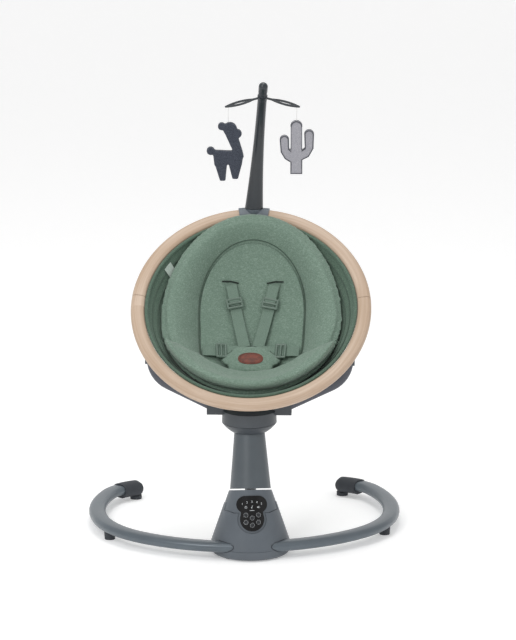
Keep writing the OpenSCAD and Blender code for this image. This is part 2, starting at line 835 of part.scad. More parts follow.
module crotch_cover() {
    color("seagreen") on_buckle() translate([0, 0, buckle_t + buckle_button_out + 1]) linear_extrude(cover_t)
        cover_outline();
}

// Broad at the top with a wing to each side, and narrower at the foot
module cover_outline() {
    polygon([[-38, 42], [38, 42], [63, 8], [60, -4], [44, -33], [-44, -33], [-60, -4], [-63, 8]]);
}

module badge() {
    color("sienna") on_buckle() translate([0, 0, buckle_t + buckle_button_out + 1 + cover_t])
        linear_extrude(badge_t) oval(54, 30);
}

// ---- Toy arm ----
// Place on the arm at an angle of its curve: the arm rises, curves forward and leans to its side
function arm_at(a) = arm_bend * [sin(a) * tan(arm_lean), cos(a) - 1, sin(a)];
function side_lean(a) = atan(tan(arm_lean) * cos(a));
function arm_axis(a) = [sin(side_lean(a)), -sin(a) * cos(side_lean(a)), cos(a) * cos(side_lean(a))];
module on_arm(a) on_stem() translate(arm_at(a)) rotate([a, 0, 0]) rotate([0, side_lean(a), 0]) children();

arm_steps = 16;
arm_sides = 20;
function arm_width(t) = arm_end_w + (arm_w - arm_end_w) * pow(1 - t, 2.2);

module toy_arm() {
    rings = [for (i = [0 : arm_steps]) [for (j = [0 : arm_sides - 1])
        let (t = i / arm_steps, a = arm_stop * t, w = arm_width(t) / 2, p = -360 * j / arm_sides,
            x = w * cos(p), y = 0.8 * w * sin(p), b = side_lean(a) * t)
        arm_at(a) + [x * cos(b), y * cos(a) + x * sin(b) * sin(a), y * sin(a) - x * sin(b) * cos(a)]]];
    color("dimgray") {
        on_stem() {
            skin(rings);
            translate([0, 0, -stem_l + 1]) cylinder(h = stem_l + 9, r = stem_r);
        }
        on_arm(arm_stop) {
            translate([0, 0, -4]) cylinder(h = BAND_STOPS[2] + band_t + 10, r = spigot_r);
            translate([0, 0, BAND_STOPS[1] + band_t + fit]) cylinder(h = neck_l - 2 * fit, r = arm_end_w / 2 - 1);
        }
    }
}

// Soft bands on the arm's spigot: below and above the crossbar's ring, and under the end cap
module arm_collars() {
    color("black") for (z = BAND_STOPS) on_arm(arm_stop) translate([0, 0, z]) difference() {
        cylinder(h = band_t, r = arm_end_w / 2 - 0.5);
        translate([0, 0, -1]) cylinder(h = band_t + 2, r = spigot_r + 0.01);
    }
}

module arm_end_cap() {
    color("dimgray") on_arm(arm_stop) translate([0, 0, BAND_STOPS[2] + band_t + fit]) difference() {
        union() {
            cylinder(h = cap_l, r = arm_end_w / 2);
            translate([0, 0, cap_l - 2]) intersection() {
                sphere(r = arm_end_w / 2 + 0.2);
                cylinder(h = 20, r = arm_end_w / 2);
            }
        }
        translate([0, 0, -1]) cylinder(h = 8, r = spigot_r + 0.01);
    }
}

// Level frame at the crossbar's ring, so that the bar and the toys hang upright
bar_mid = arm_at(arm_stop) + (BAND_STOPS[0] + band_t + fit + collar_t / 2) * arm_axis(arm_stop);
module on_bar() on_stem() translate(bar_mid) children();

module leaf(grow) {
    arc = (leaf_l * leaf_l / 4 + leaf_w * leaf_w / 4) / leaf_w;
    translate([leaf_l / 2, 0]) intersection() {
        translate([0, arc - leaf_w / 2]) circle(r = arc + grow);
        translate([0, leaf_w / 2 - arc]) circle(r = arc + grow);
    }
}

eyelet = 10;
tip_x = bar_reach - eyelet;
tip_z = -tip_x * tan(bar_drop);

module crossbar() {
    color("dimgray") {
        on_bar() both_sides() rotate([0, bar_drop, 0]) rotate([leaf_roll, 0, 0])
            translate([bar_reach - leaf_l, 0, -bar_t / 2]) difference() {
                union() {
                    linear_extrude(bar_t) leaf(0);
                    translate([-7.4, -2, 0.4]) cube([11.4, 4, bar_t - 0.8]);
                }
                difference() {
                    translate([0, 0, -1]) linear_extrude(bar_t + 2) leaf(-3);
                    translate([leaf_l - eyelet, 0, -1]) cylinder(h = bar_t + 2, r = 4);
                }
                translate([leaf_l - eyelet, 0, -1]) cylinder(h = bar_t + 2, r = 1);
            }
        on_arm(arm_stop) translate([0, 0, BAND_STOPS[0] + band_t + fit]) difference() {
            cylinder(h = collar_t, r = arm_end_w / 2 + 1);
            translate([0, 0, -1]) cylinder(h = collar_t + 2, r = spigot_r + 0.01);
        }
    }
}

// The string is tied just under the bar
tie_drop = bar_t / 2 + 1.2;
module on_toy(side) on_bar() translate([side * tip_x, 0, tip_z - tie_drop]) children();

module toy_string(side) {
    color("gainsboro") on_toy(side) translate([0, 0, -string_l]) cylinder(h = string_l, r = string_r, $fn = 16);
}

// Flat felt outline, stood upright under its string
module felt(side) {
    on_toy(side) translate([0, toy_t / 2, -string_l + 3]) rotate([90, 0, 0])
        for (i = [0 : $children - 1]) linear_extrude(toy_t) children(i);
}

module string_hole(side) on_toy(side) translate([0, 0, -string_l - 0.1]) cylinder(h = 10, r = string_r + gap);

module alpaca_toy() {
    color("darkslategray") difference() {
        felt(-1) {
            translate([-14, -12]) circle(r = 8.5);
            translate([4, -18]) circle(r = 15);
            translate([20, -28]) circle(r = 9.5);
            polygon([[-9, -24], [18, -24], [31, -66], [34, -80], [8, -80], [10, -66]]);
            polygon([[-34, -64], [14, -66], [33, -72], [30, -94], [-30, -98]]);
            translate([-38, -66]) circle(r = 9);
            polygon([[-31, -80], [0, -80], [-3, -100], [-6, -132], [-18, -132], [-29, -96]]);
            polygon([[2, -80], [32, -80], [30, -94], [21, -128], [9, -128], [2, -100]]);
        }
        string_hole(-1);
    }
}

module cactus_toy() {
    color("lightgray") difference() {
        felt(1) {
            translate([-0.5, -12.5]) circle(r = 12.5);
            polygon([[-13, -13], [12, -13], [12, -116], [-13, -116]]);
            translate([-26.5, -42]) circle(r = 9.5);
            polygon([[-36, -42], [-17, -42], [-16.5, -62], [-12, -69], [-12, -91], [-25, -83], [-34, -68]]);
            translate([27, -30]) circle(r = 10);
            polygon([[17, -30], [37, -30], [36, -60], [26, -78], [10, -86], [10, -68], [18, -60]]);
        }
        string_hole(1);
    }
}

mirror([1, 0, 0]) frame_tube();  // frame_tube_left
frame_tube();  // frame_tube_right
mirror([1, 0, 0]) tube_end_cap();  // tube_end_cap_left
tube_end_cap();  // tube_end_cap_right
frame_feet();
base_plate();
base_pads();
housing_shell();
housing_front();
housing_screws();
control_panel();
panel_board();
button(2);  // power_button
button(1);  // speed_up_button
button(0);  // speed_down_button
button(5);  // timer_button
button(3);  // music_button
button(4);  // volume_button
swing_bearing();
drive_coil();
speaker();
power_inlet();
post_shell();
swing_shaft();
drive_lever();
drive_magnet();
hub_bowl();
swivel_pin();
hub_housing();
on_hub() mirror([1, 0, 0]) yoke_arm();  // yoke_arm_left
on_hub() yoke_arm();  // yoke_arm_right
hub_screws();
hoop_lower();
color("tan") on_hoop() mirror([1, 0, 0]) hoop_upper();  // hoop_upper_left
color("tan") on_hoop() hoop_upper();  // hoop_upper_right
color("silver") on_hoop() dowels(0);  // hoop_dowels
color("dimgray") on_hub() mirror([1, 0, 0]) hoop_bracket();  // hoop_bracket_left
color("dimgray") on_hub() hoop_bracket();  // hoop_bracket_right
recline_pins();
arm_socket();
bucket_liner();
seat_pad();
centre_panel();
color("seagreen") on_hoop() mirror([1, 0, 0]) shoulder_strap();  // shoulder_strap_left
color("seagreen") on_hoop() shoulder_strap();  // shoulder_strap_right
color("seagreen") on_hoop() mirror([1, 0, 0]) waist_strap();  // waist_strap_left
color("seagreen") on_hoop() waist_strap();  // waist_strap_right
strap_adjusters();
buckle();
buckle_button();
crotch_cover();
badge();
toy_arm();
arm_collars();
arm_end_cap();
crossbar();
alpaca_toy();
toy_string(-1);  // alpaca_string
cactus_toy();
toy_string(1);  // cactus_string
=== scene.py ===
"""Looks of a baby swing: a wooden hoop seat on a yoke and a swinging post, over a C-shaped floor frame.

Everything is in metres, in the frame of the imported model. Lengths given in millimetres say so with * MM.
"""
import json
import math
from contextlib import contextmanager

import bmesh
import bpy
from mathutils import Matrix, Vector, noise
from mathutils.bvhtree import BVHTree


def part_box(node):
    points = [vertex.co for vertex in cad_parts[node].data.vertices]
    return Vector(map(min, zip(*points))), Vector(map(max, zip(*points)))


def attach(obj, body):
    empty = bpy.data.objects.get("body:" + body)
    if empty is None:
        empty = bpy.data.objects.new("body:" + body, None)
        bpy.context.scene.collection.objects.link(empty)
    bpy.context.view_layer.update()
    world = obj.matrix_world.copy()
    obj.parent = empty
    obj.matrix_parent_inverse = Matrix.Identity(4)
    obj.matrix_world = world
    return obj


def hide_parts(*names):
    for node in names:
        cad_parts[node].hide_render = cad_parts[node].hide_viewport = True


bl_info = {
    "name": "Baby swing looks",
    "version": (1, 0, 0),
    "blender": (4, 5, 0),
    "location": "View3D > Sidebar > Swing",
    "description": "Upholstery, wood, moulded and felt pieces of a baby swing around its packed frame",
    "category": "Object",
}

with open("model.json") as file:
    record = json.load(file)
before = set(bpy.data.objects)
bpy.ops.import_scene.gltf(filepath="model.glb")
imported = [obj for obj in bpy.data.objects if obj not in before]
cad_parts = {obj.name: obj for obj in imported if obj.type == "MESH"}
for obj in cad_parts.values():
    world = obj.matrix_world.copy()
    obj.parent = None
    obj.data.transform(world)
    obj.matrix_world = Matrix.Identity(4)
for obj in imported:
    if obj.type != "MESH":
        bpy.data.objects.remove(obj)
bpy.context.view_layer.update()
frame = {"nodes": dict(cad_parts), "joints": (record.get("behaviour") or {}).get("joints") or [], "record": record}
NODES = frame["nodes"]
BODY_OF = {n: body for body, names in frame["record"]["behaviour"]["bodies"].items() for n in names}
SLOT_OF = {part["node"]: part["material_slot"] for part in frame["record"]["subparts"]}
MM = 0.001


def joint(name):
    return next(j for j in frame["joints"] if j["name"] == name)


# ---- The design's driving sizes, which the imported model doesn't hold ----
HUB = Vector(joint("seat_swivel")["pos_m"])
SEAT_TURN = math.atan2(-joint("recline")["axis"][1], -joint("recline")["axis"][0])
HOOP_TILT = math.radians(42.8)
HOOP_R = 245 * MM
LINER_R = 226 * MM
SEAT_MID = -60 * MM
BUCKET_DEPTH = 125 * MM
BOWL_POWER = 2.4
LINER_RIM = 2 * MM
HARNESS_H = 37 * MM
BUCKLE_MID = -96 * MM
ARM_TURN = math.radians(2)
# Radius and height of the housing's cone, at its foot and at its top
CONE_FOOT = (86 * MM, 22 * MM)
CONE_TOP = (47 * MM, 137 * MM)
SLOPE = math.atan2(CONE_FOOT[0] - CONE_TOP[0], CONE_TOP[1] - CONE_FOOT[1])
PANEL_Z = 101 * MM
INSET = 1.2 * MM
TUBE_BACK = 313 * MM
TUBE_ARC = 370 * MM
TUBE_Z = 27 * MM
TUBE_SIZE = (37 * MM, 21 * MM)
MERGE = 2e-6
SIDES = ((-1, "left"), (1, "right"))

HUB_FRAME = Matrix.Translation(HUB) @ Matrix.Rotation(SEAT_TURN, 4, "Z")
SEAT = HUB_FRAME @ Matrix.Translation((0, 100 * MM, 225 * MM)) @ Matrix.Rotation(HOOP_TILT, 4, "X")


# ---- Node sockets as Python expressions ----
class Wire:
    """An output socket; arithmetic on it adds Math nodes to its material."""

    def __init__(self, finish, socket):
        self.finish = finish
        self.socket = socket

    def math(self, operation, *values):
        return self.finish.add("ShaderNodeMath", {"operation": operation}, dict(enumerate(values)))

    def __add__(self, other):
        return self.math("ADD", self, other)

    __radd__ = __add__

    def __sub__(self, other):
        return self.math("SUBTRACT", self, other)

    def __rsub__(self, other):
        return self.math("SUBTRACT", other, self)

    def __mul__(self, other):
        return self.math("MULTIPLY", self, other)

    __rmul__ = __mul__

    def __pow__(self, other):
        return self.math("POWER", self, other)

    def sin(self):
        return self.math("SINE", self)

    def abs(self):
        return self.math("ABSOLUTE", self)

    def steps(self, low, high):
        """Smooth rise from 0 to 1 as the value goes from low to high."""
        return self.finish.add(
            "ShaderNodeMapRange", {"interpolation_type": "SMOOTHSTEP"},
            {"Value": self, "From Min": low, "From Max": high},
        )


class Finish:
    """A material under construction on one Principled shader."""

    def __init__(self, name, metallic=0.0, specular=0.5, coat=0.0, coat_rough=0.1, sheen=0.0):
        self.material = bpy.data.materials.new(name)
        self.material.use_nodes = True
        self.tree = self.material.node_tree
        self.shader = self.tree.nodes["Principled BSDF"]
        for socket, value in (
            ("Metallic", metallic), ("Specular IOR Level", specular), ("Coat Weight", coat),
            ("Coat Roughness", coat_rough), ("Sheen Weight", sheen), ("Sheen Roughness", 0.45),
        ):
            self.shader.inputs[socket].default_value = value

    def add(self, kind, settings=None, values=None, out=0):
        node = self.tree.nodes.new(kind)
        for key, value in (settings or {}).items():
            setattr(node, key, value)
        for key, value in (values or {}).items():
            self.put(node.inputs[key], value)
        return Wire(self, node.outputs[out])

    def put(self, socket, value):
        if isinstance(value, Wire):
            self.tree.links.new(value.socket, socket)
        else:
            socket.default_value = value

    def place(self, turn=(0, 0, 0), centre=(0, 0, 0)):
        """Object coordinates, turned and centred on one of the design's own frames."""
        spot = self.add("ShaderNodeTexCoord", out="Object")
        return self.add(
            "ShaderNodeMapping", {"vector_type": "TEXTURE"},
            {"Vector": spot, "Location": centre, "Rotation": turn},
        )

    def stretch(self, spot, scale):
        return self.add("ShaderNodeVectorMath", {"operation": "MULTIPLY"}, {0: spot, 1: scale})

    def noise(self, spot, scale, detail=2.0, rough=0.5, warp=0.0):
        return self.add(
            "ShaderNodeTexNoise", None,
            {"Vector": spot, "Scale": scale, "Detail": detail, "Roughness": rough, "Distortion": warp},
        )

    def cells(self, spot, scale, out="Distance"):
        return self.add("ShaderNodeTexVoronoi", None, {"Vector": spot, "Scale": scale}, out)

    def axes(self, spot):
        node = self.tree.nodes.new("ShaderNodeSeparateXYZ")
        self.put(node.inputs[0], spot)
        return [Wire(self, output) for output in node.outputs]

    def join(self, x, y, z):
        return self.add("ShaderNodeCombineXYZ", None, {0: x, 1: y, 2: z})

    def mix(self, factor, first, second):
        return self.add("ShaderNodeMix", {"data_type": "RGBA"}, {0: factor, 6: first, 7: second}, 2)

    def bump(self, height, distance, strength=1.0, under=None):
        values = {"Height": height, "Distance": distance, "Strength": strength}
        if under is not None:
            values["Normal"] = under
        return self.add("ShaderNodeBump", None, values)

    def done(self, colour, rough, normal=None):
        self.put(self.shader.inputs["Base Color"], colour)
        self.put(self.shader.inputs["Roughness"], rough)
        if normal is not None:
            self.put(self.shader.inputs["Normal"], normal)
        return self.material


def shade(text, lift=1.0):
    """Linear colour of a hex value or a linear triple, made lighter or darker by a factor."""
    if not isinstance(text, str):
        return (*[min(1.0, v * lift) for v in text], 1.0)
    parts = [int(text[i:i + 2], 16) / 255 for i in (0, 2, 4)]
    linear = [p / 12.92 if p <= 0.04045 else ((p + 0.055) / 1.055) ** 2.4 for p in parts]
    return (*[min(1.0, v * lift) for v in linear], 1.0)


# ---- Finishes ----
def moulded(name, colour, rough=0.42, grain=1.0, coat=0.0, metallic=0.0):
    """Moulded or painted surface: faint spark texture, cloudy gloss and a little colour drift."""
    f = Finish(name, metallic=metallic, coat=coat, coat_rough=0.25)
    spot = f.place()
    fine = f.noise(spot, 1600.0, 2.0, 0.6)
    cloud = f.noise(spot, 14.0, 3.0, 0.55)
    tone = (cloud * 0.5 + fine * 0.5).steps(0.3, 0.7)
    body = f.mix(tone, shade(colour, 0.9), shade(colour, 1.12))
    height = f.bump(fine, 0.00006 * grain, 0.5)
    return f.done(body, rough - 0.08 + cloud * 0.16, height)


def gloss(name, colour, rough=0.12, coat=0.6, shine=0.5):
    """Polished plastic with faint handling haze."""
    f = Finish(name, specular=shine, coat=coat, coat_rough=0.06)
    spot = f.place()
    haze = f.noise(spot, 30.0, 4.0, 0.6)
    speck = f.noise(spot, 900.0, 2.0)
    body = f.mix(haze, shade(colour, 0.85), shade(colour, 1.2))
    return f.done(body, rough + haze * 0.12, f.bump(speck, 0.00002, 0.3))


def rubber(name, colour):
    f = Finish(name, specular=0.35)
    spot = f.place()
    grit = f.noise(spot, 700.0, 4.0, 0.65)
    scuff = f.noise(spot, 40.0, 4.0, 0.6)
    body = f.mix(scuff, shade(colour, 0.85), shade(colour, 1.3))
    return f.done(body, 0.55 + scuff * 0.25, f.bump(grit, 0.00012, 0.5))


def metal(name, colour, rough=0.28, along=(1, 1, 12)):
    """Turned or drawn metal with fine streaks."""
    f = Finish(name, metallic=1.0)
    streak = f.noise(f.stretch(f.place(), along), 900.0, 3.0, 0.6)
    body = f.mix(streak, shade(colour, 0.8), shade(colour, 1.15))
    return f.done(body, rough + streak * 0.18, f.bump(streak, 0.00002, 0.4))


def board(name):
    """Circuit board: solder mask over a grid of tracks."""
    f = Finish(name, coat=0.4)
    spot = f.place()
    x, y, z = f.axes(spot)
    tracks = ((x * 1400.0).sin() * (z * 1400.0).sin()).abs().steps(0.15, 0.35)
    return f.done(f.mix(tracks, shade("2c7a3d"), shade("12401f")), 0.4, f.bump(tracks, 0.00005))


def wood(name):
    """Pale bent wood: the grain runs round the hoop."""
    f = Finish(name, specular=0.4, coat=0.18, coat_rough=0.3)
    turn = SEAT.to_euler()
    spot = f.place(tuple(turn), tuple(SEAT.to_translation()))
    x, y, z = f.axes(spot)
    around = f.add("ShaderNodeMath", {"operation": "ARCTAN2"}, {0: y, 1: x}) * HOOP_R
    out = (x * x + y * y) ** 0.5
    drift = f.noise(f.join(around * 3.0, out * 10.0, z * 10.0), 2.0, 2.0)
    rings = f.noise(f.join(around * 2.0, out * 90.0 + drift * 1.2, z * 90.0), 2.2, 4.0, 0.55)
    pores = f.noise(f.join(around * 30.0, out * 1400.0, z * 1400.0), 1.0, 3.0, 0.6)
    pale = f.mix(rings.steps(0.32, 0.68), shade("b9a18b"), shade("cbb6a2"))
    toned = f.mix(drift.steps(0.3, 0.75) * 0.6, pale, shade("ad9278"))
    body = f.mix(pores.steps(0.6, 0.72) * 0.35, toned, shade("94785f"))
    return f.done(body, 0.4 + rings * 0.15, f.bump(pores + rings * 0.4, 0.00008, 0.6))


def heather(name, colour, dark, pale, pitch=1.5 * MM, sheen=0.22):
    """Soft melange jersey: flecks of three yarn colours over a fine knit."""
    f = Finish(name, specular=0.15, sheen=sheen)
    spot = f.place()
    x, y, z = f.axes(spot)
    turns = 2 * math.pi / pitch
    warp = f.noise(spot, 260.0, 2.0)
    knit = ((x * turns + warp * 3.0).sin() * ((y + z) * turns + warp * 3.0).sin()).abs()
    fleck = f.noise(f.stretch(spot, (1.0, 0.6, 0.6)), 760.0, 3.0, 0.7)
    slub = f.noise(f.stretch(spot, (0.5, 1.0, 1.0)), 330.0, 3.0, 0.6)
    soft = f.noise(spot, 9.0, 3.0, 0.5)
    body = f.mix(fleck.steps(0.42, 0.66), shade(dark), shade(colour))
    body = f.mix(slub.steps(0.45, 0.75) * 0.4, body, shade(pale))
    body = f.mix(soft.steps(0.35, 0.7) * 0.22, body, shade(dark))
    nap = f.bump(knit * 0.6 + fleck, 0.0003, 0.55)
    return f.done(body, 0.86 + slub * 0.1, f.bump(soft, 0.004, 0.25, nap))


def webbing(name, colour, dark):
    """Woven strap: ribs across it, on its own map with u across and v along, both in metres."""
    f = Finish(name, specular=0.2, sheen=0.12)
    spot = f.add("ShaderNodeUVMap", {"uv_map": "weave"})
    u, v, _ = f.axes(spot)
    rib = (v * (2 * math.pi / (1.6 * MM)) + (u * (2 * math.pi / (2.4 * MM))).sin()).sin()
    fuzz = f.noise(f.place(), 700.0, 3.0, 0.6)
    body = f.mix((rib * 0.35 + fuzz).steps(0.2, 0.9), shade(dark), shade(colour))
    return f.done(body, 0.78, f.bump(rib * 0.5 + fuzz * 0.4, 0.0003, 0.7))


def leather(name, colour, dark):
    f = Finish(name, specular=0.4, sheen=0.05)
    spot = f.place()
    pebble = f.cells(spot, 620.0)
    crease = f.noise(spot, 90.0, 4.0, 0.6)
    body = f.mix(crease.steps(0.3, 0.7), shade(dark), shade(colour))
    return f.done(body, 0.42 + crease * 0.25, f.bump(pebble + crease, 0.0003, 0.6))


def felt(name, colour, dark, pale):
    """Pressed wool: tangled fibres in three tones."""
    f = Finish(name, specular=0.08, sheen=0.35)
    spot = f.place()
    tangle = f.noise(spot, 420.0, 5.0, 0.75, 2.5)
    fibre = f.noise(f.stretch(spot, (0.4, 1.0, 1.6)), 900.0, 3.0, 0.7, 3.0)
    body = f.mix(tangle.steps(0.4, 0.62), shade(dark), shade(colour))
    body = f.mix(fibre.steps(0.56, 0.74) * 0.6, body, shade(pale))
    return f.done(body, 0.92, f.bump(tangle + fibre * 0.6, 0.0009, 0.8))


def thread(name, colour):
    f = Finish(name, specular=0.2, sheen=0.2)
    spot = f.place()
    x, y, z = f.axes(spot)
    ply = ((x + y + z) * 5200.0).sin()
    body = f.mix(ply * 0.5 + 0.5, shade(colour, 0.8), shade(colour, 1.1))
    return f.done(body, 0.7, f.bump(ply, 0.0001, 0.6))


FINISHES = {}


def make_finishes(tint):
    """All materials by name; the tint is the upholstery's main colour from the sidebar."""
    for name, make, *values in (
        ("frame_paint", moulded, "5b646b", 0.36, 0.6, 0.15, 0.25),
        ("base_plastic", moulded, "596067", 0.4),
        ("dark_plastic", moulded, "42474c", 0.4),
        ("post_plastic", moulded, "50575c", 0.38),
        ("yoke_paint", moulded, "4a4d56", 0.4, 0.6, 0.1),
        ("soft_rubber", rubber, "3a3d42"),
        ("panel_black", gloss, "050506", 0.22, 0.12, 0.3),
        ("button_black", moulded, "2a2c30", 0.35),
        ("board_green", board),
        ("steel", metal, "b9bbbe"),
        ("coil_copper", metal, "b8733f", 0.35, (1, 1, 60)),
        ("hoop_wood", wood),
        ("seat_fabric", heather, tint, "6a8072", "a3b5a8"),
        ("liner_fabric", heather, "667c6c", "4f6356", "788d7f"),
        ("webbing", webbing, "83978a", "5f7366"),
        ("buckle_plastic", moulded, "5d7064", 0.34),
        ("release_red", gloss, "a62a22", 0.2),
        ("badge_leather", leather, "7c4030", "562a1e"),
        ("arm_plastic", gloss, "1f262c", 0.26, 0.35),
        ("felt_dark", felt, "50555f", "343842", "868b97"),
        ("felt_light", felt, "b4b3b8", "8f8f97", "dcdce0"),
        ("string_white", thread, "e8e8e6"),
        ("seam_thread", thread, "4f6255"),
        ("leather_thread", thread, "5a2c20"),
        ("grey_thread", thread, "55575e"),
        ("light_thread", thread, "7d828e"),
        ("print_white", gloss, "c9cdd0", 0.4),
        ("tag_white", heather, "b9c6bd", "a3b1a8", "c9d3cc"),
        ("socket_grey", moulded, "59626a", 0.4),
        # painted shade: near-black fabric for the cord that stands for the shade inside the strap slots
        ("slot_dark", heather, "2b342e", "1f2621", "384139"),
    ):
        FINISHES[name] = make(name, *values)


# ---- Mesh helpers ----
@contextmanager
def editing(mesh):
    """Opens a mesh for editing and writes it back."""
    bm = bmesh.new()
    bm.from_mesh(mesh)
    yield bm
    bm.to_mesh(mesh)
    bm.free()


def round_turn(count):
    """Evenly spaced angles round a full turn."""
    return [2 * math.pi * k / count for k in range(count)]


def add_object(name, mesh, finish, body, replaces=(), smooth=40.0):
    """Links a finished mesh in the model's frame and lets it ride on its body."""
    obj = bpy.data.objects.new(name, mesh)
    bpy.context.scene.collection.objects.link(obj)
    mesh.materials.clear()
    mesh.materials.append(FINISHES[finish])
    if smooth:
        soften(mesh, smooth)
    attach(obj, body)
    if replaces:
        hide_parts(*replaces)
    return obj


def soften(mesh, angle):
    """Smooth shading with edges sharper than the angle, in degrees, kept crisp."""
    limit = math.radians(angle)
    with editing(mesh) as bm:
        for face in bm.faces:
            face.smooth = True
        for edge in bm.edges:
            edge.smooth = len(edge.link_faces) == 2 and edge.calc_face_angle(0.0) < limit


def mesh_of(name, points, faces):
    mesh = bpy.data.meshes.new(name)
    mesh.from_pydata([tuple(p) for p in points], [], faces)
    mesh.update()
    return mesh


def grid_faces(rows, cols, loop=True, base=0):
    """Quads over rows of cols points; a loop joins the last column to the first."""
    last = cols if loop else cols - 1
    return [
        (base + i * cols + j, base + i * cols + (j + 1) % cols,
         base + (i + 1) * cols + (j + 1) % cols, base + (i + 1) * cols + j)
        for i in range(rows - 1) for j in range(last)
    ]


def outward(mesh):
    """Closes poles and seams and turns the faces outwards."""
    with editing(mesh) as bm:
        bmesh.ops.remove_doubles(bm, verts=bm.verts, dist=1e-6)
        bmesh.ops.dissolve_degenerate(bm, edges=bm.edges, dist=1e-7)
        bmesh.ops.recalc_face_normals(bm, faces=bm.faces)
    return mesh


def merged_copy(node):
    """Copy of a CAD node's mesh with its loose triangles joined."""
    mesh = NODES[node].data.copy()
    with editing(mesh) as bm:
        bmesh.ops.remove_doubles(bm, verts=bm.verts, dist=MERGE)
    return mesh


def skinned_copy(node, finish, angle=32.0):
    """A merged, smoothly shaded copy of a CAD node, which it stands for."""
    mesh = merged_copy(node)
    if "custom_normal" in mesh.attributes:
        mesh.attributes.remove(mesh.attributes["custom_normal"])
    mesh.name = node + "_shape"
    return add_object(node + "_shape", mesh, finish, BODY_OF[node], (node,), angle)


# ---- Geometry Nodes trees ----
def new_tree(name, sockets):
    tree = bpy.data.node_groups.new(name, "GeometryNodeTree")
    tree.interface.new_socket(name="Geometry", in_out="OUTPUT", socket_type="NodeSocketGeometry")
    tree.interface.new_socket(name="Geometry", in_out="INPUT", socket_type="NodeSocketGeometry")
    for label, kind, value in sockets:
        item = tree.interface.new_socket(name=label, in_out="INPUT", socket_type=kind)
        if value is not None:
            item.default_value = value
    return tree


def link_chain(tree, *steps):
    """Links each (node, output) to the next step's (node, input)."""
    for (source, out), (target, into) in steps:
        tree.links.new(source.outputs[out], target.inputs[into])


def stitch_tree():
    """Short rounded stitches laid end to end along a line."""
    tree = new_tree("Stitches", [
        ("Pitch", "NodeSocketFloat", 4 * MM), ("Length", "NodeSocketFloat", 2.6 * MM),
        ("Radius", "NodeSocketFloat", 0.35 * MM), ("Material", "NodeSocketMaterial", None),
    ])
    new = tree.nodes.new
    start, end = new("NodeGroupInput"), new("NodeGroupOutput")
    line, resample = new("GeometryNodeMeshToCurve"), new("GeometryNodeResampleCurve")
    resample.mode = "LENGTH"
    tangent, align = new("GeometryNodeInputTangent"), new("FunctionNodeAlignRotationToVector")
    align.axis = "Z"
    ball, size = new("GeometryNodeMeshUVSphere"), new("ShaderNodeCombineXYZ")
    ball.inputs["Segments"].default_value = 6
    ball.inputs["Rings"].default_value = 5
    ball.inputs["Radius"].default_value = 1.0
    half = new("ShaderNodeMath")
    half.operation = "MULTIPLY"
    half.inputs[1].default_value = 0.5
    place = new("GeometryNodeInstanceOnPoints")
    real, paint = new("GeometryNodeRealizeInstances"), new("GeometryNodeSetMaterial")
    link_chain(
        tree,
        ((start, "Geometry"), (line, "Mesh")), ((line, "Curve"), (resample, "Curve")),
        ((start, "Pitch"), (resample, "Length")), ((resample, "Curve"), (place, "Points")),
        ((ball, "Mesh"), (place, "Instance")), ((tangent, "Tangent"), (align, "Vector")),
        ((align, "Rotation"), (place, "Rotation")), ((start, "Radius"), (size, "X")),
        ((start, "Radius"), (size, "Y")), ((start, "Length"), (half, 0)), ((half, 0), (size, "Z")),
        ((size, "Vector"), (place, "Scale")), ((place, "Instances"), (real, "Geometry")),
        ((real, "Geometry"), (paint, "Geometry")), ((start, "Material"), (paint, "Material")),
        ((paint, "Geometry"), (end, "Geometry")),
    )
    return tree


def piping_tree():
    """A round cord of fabric swept along a line."""
    tree = new_tree("Piping", [
        ("Radius", "NodeSocketFloat", 1.5 * MM), ("Material", "NodeSocketMaterial", None),
    ])
    new = tree.nodes.new
    start, end = new("NodeGroupInput"), new("NodeGroupOutput")
    line, ring = new("GeometryNodeMeshToCurve"), new("GeometryNodeCurvePrimitiveCircle")
    ring.inputs["Resolution"].default_value = 8
    sweep = new("GeometryNodeCurveToMesh")
    real, paint = new("GeometryNodeRealizeInstances"), new("GeometryNodeSetMaterial")
    sweep.inputs["Fill Caps"].default_value = True
    link_chain(
        tree,
        ((start, "Geometry"), (line, "Mesh")), ((line, "Curve"), (sweep, "Curve")),
        ((start, "Radius"), (ring, "Radius")), ((ring, "Curve"), (sweep, "Profile Curve")),
        ((sweep, "Mesh"), (real, "Geometry")), ((real, "Geometry"), (paint, "Geometry")),
        ((start, "Material"), (paint, "Material")), ((paint, "Geometry"), (end, "Geometry")),
    )
    return tree


def along_lines(name, lines, tree, values, finish, body, closed=False):
    """Runs a tree over lines of points and keeps the result as one plain mesh."""
    points, edges = [], []
    for line in lines:
        first = len(points)
        points.extend(tuple(p) for p in line)
        edges.extend((first + i, first + i + 1) for i in range(len(line) - 1))
        if closed:
            edges.append((len(points) - 1, first))
    mesh = bpy.data.meshes.new(name + "_line")
    mesh.from_pydata(points, edges, [])
    source = bpy.data.objects.new(name + "_line", mesh)
    bpy.context.scene.collection.objects.link(source)
    modifier = source.modifiers.new("Rule", "NODES")
    modifier.node_group = tree
    values = dict(values, Material=FINISHES[finish])
    for item in tree.interface.items_tree:
        if item.in_out == "INPUT" and item.name in values:
            modifier[item.identifier] = values[item.name]
    bpy.context.view_layer.update()
    evaluated = source.evaluated_get(bpy.context.evaluated_depsgraph_get())
    result = bpy.data.meshes.new_from_object(evaluated)
    bpy.data.objects.remove(source)
    result.name = name
    return add_object(name, result, finish, body, smooth=60.0)


TREES = {}


def stitches(name, lines, finish, body, pitch=4 * MM, closed=False, radius=0.35 * MM):
    values = {"Pitch": pitch, "Length": pitch * 0.66, "Radius": radius}
    return along_lines(name, lines, TREES["stitch"], values, finish, body, closed)


def piping(name, lines, radius, finish, body, closed=False):
    return along_lines(name, lines, TREES["piping"], {"Radius": radius}, finish, body, closed)


# ---- The seat's surface ----
def seat_depth(rho):
    return LINER_RIM - BUCKET_DEPTH * (1 - rho ** BOWL_POWER)


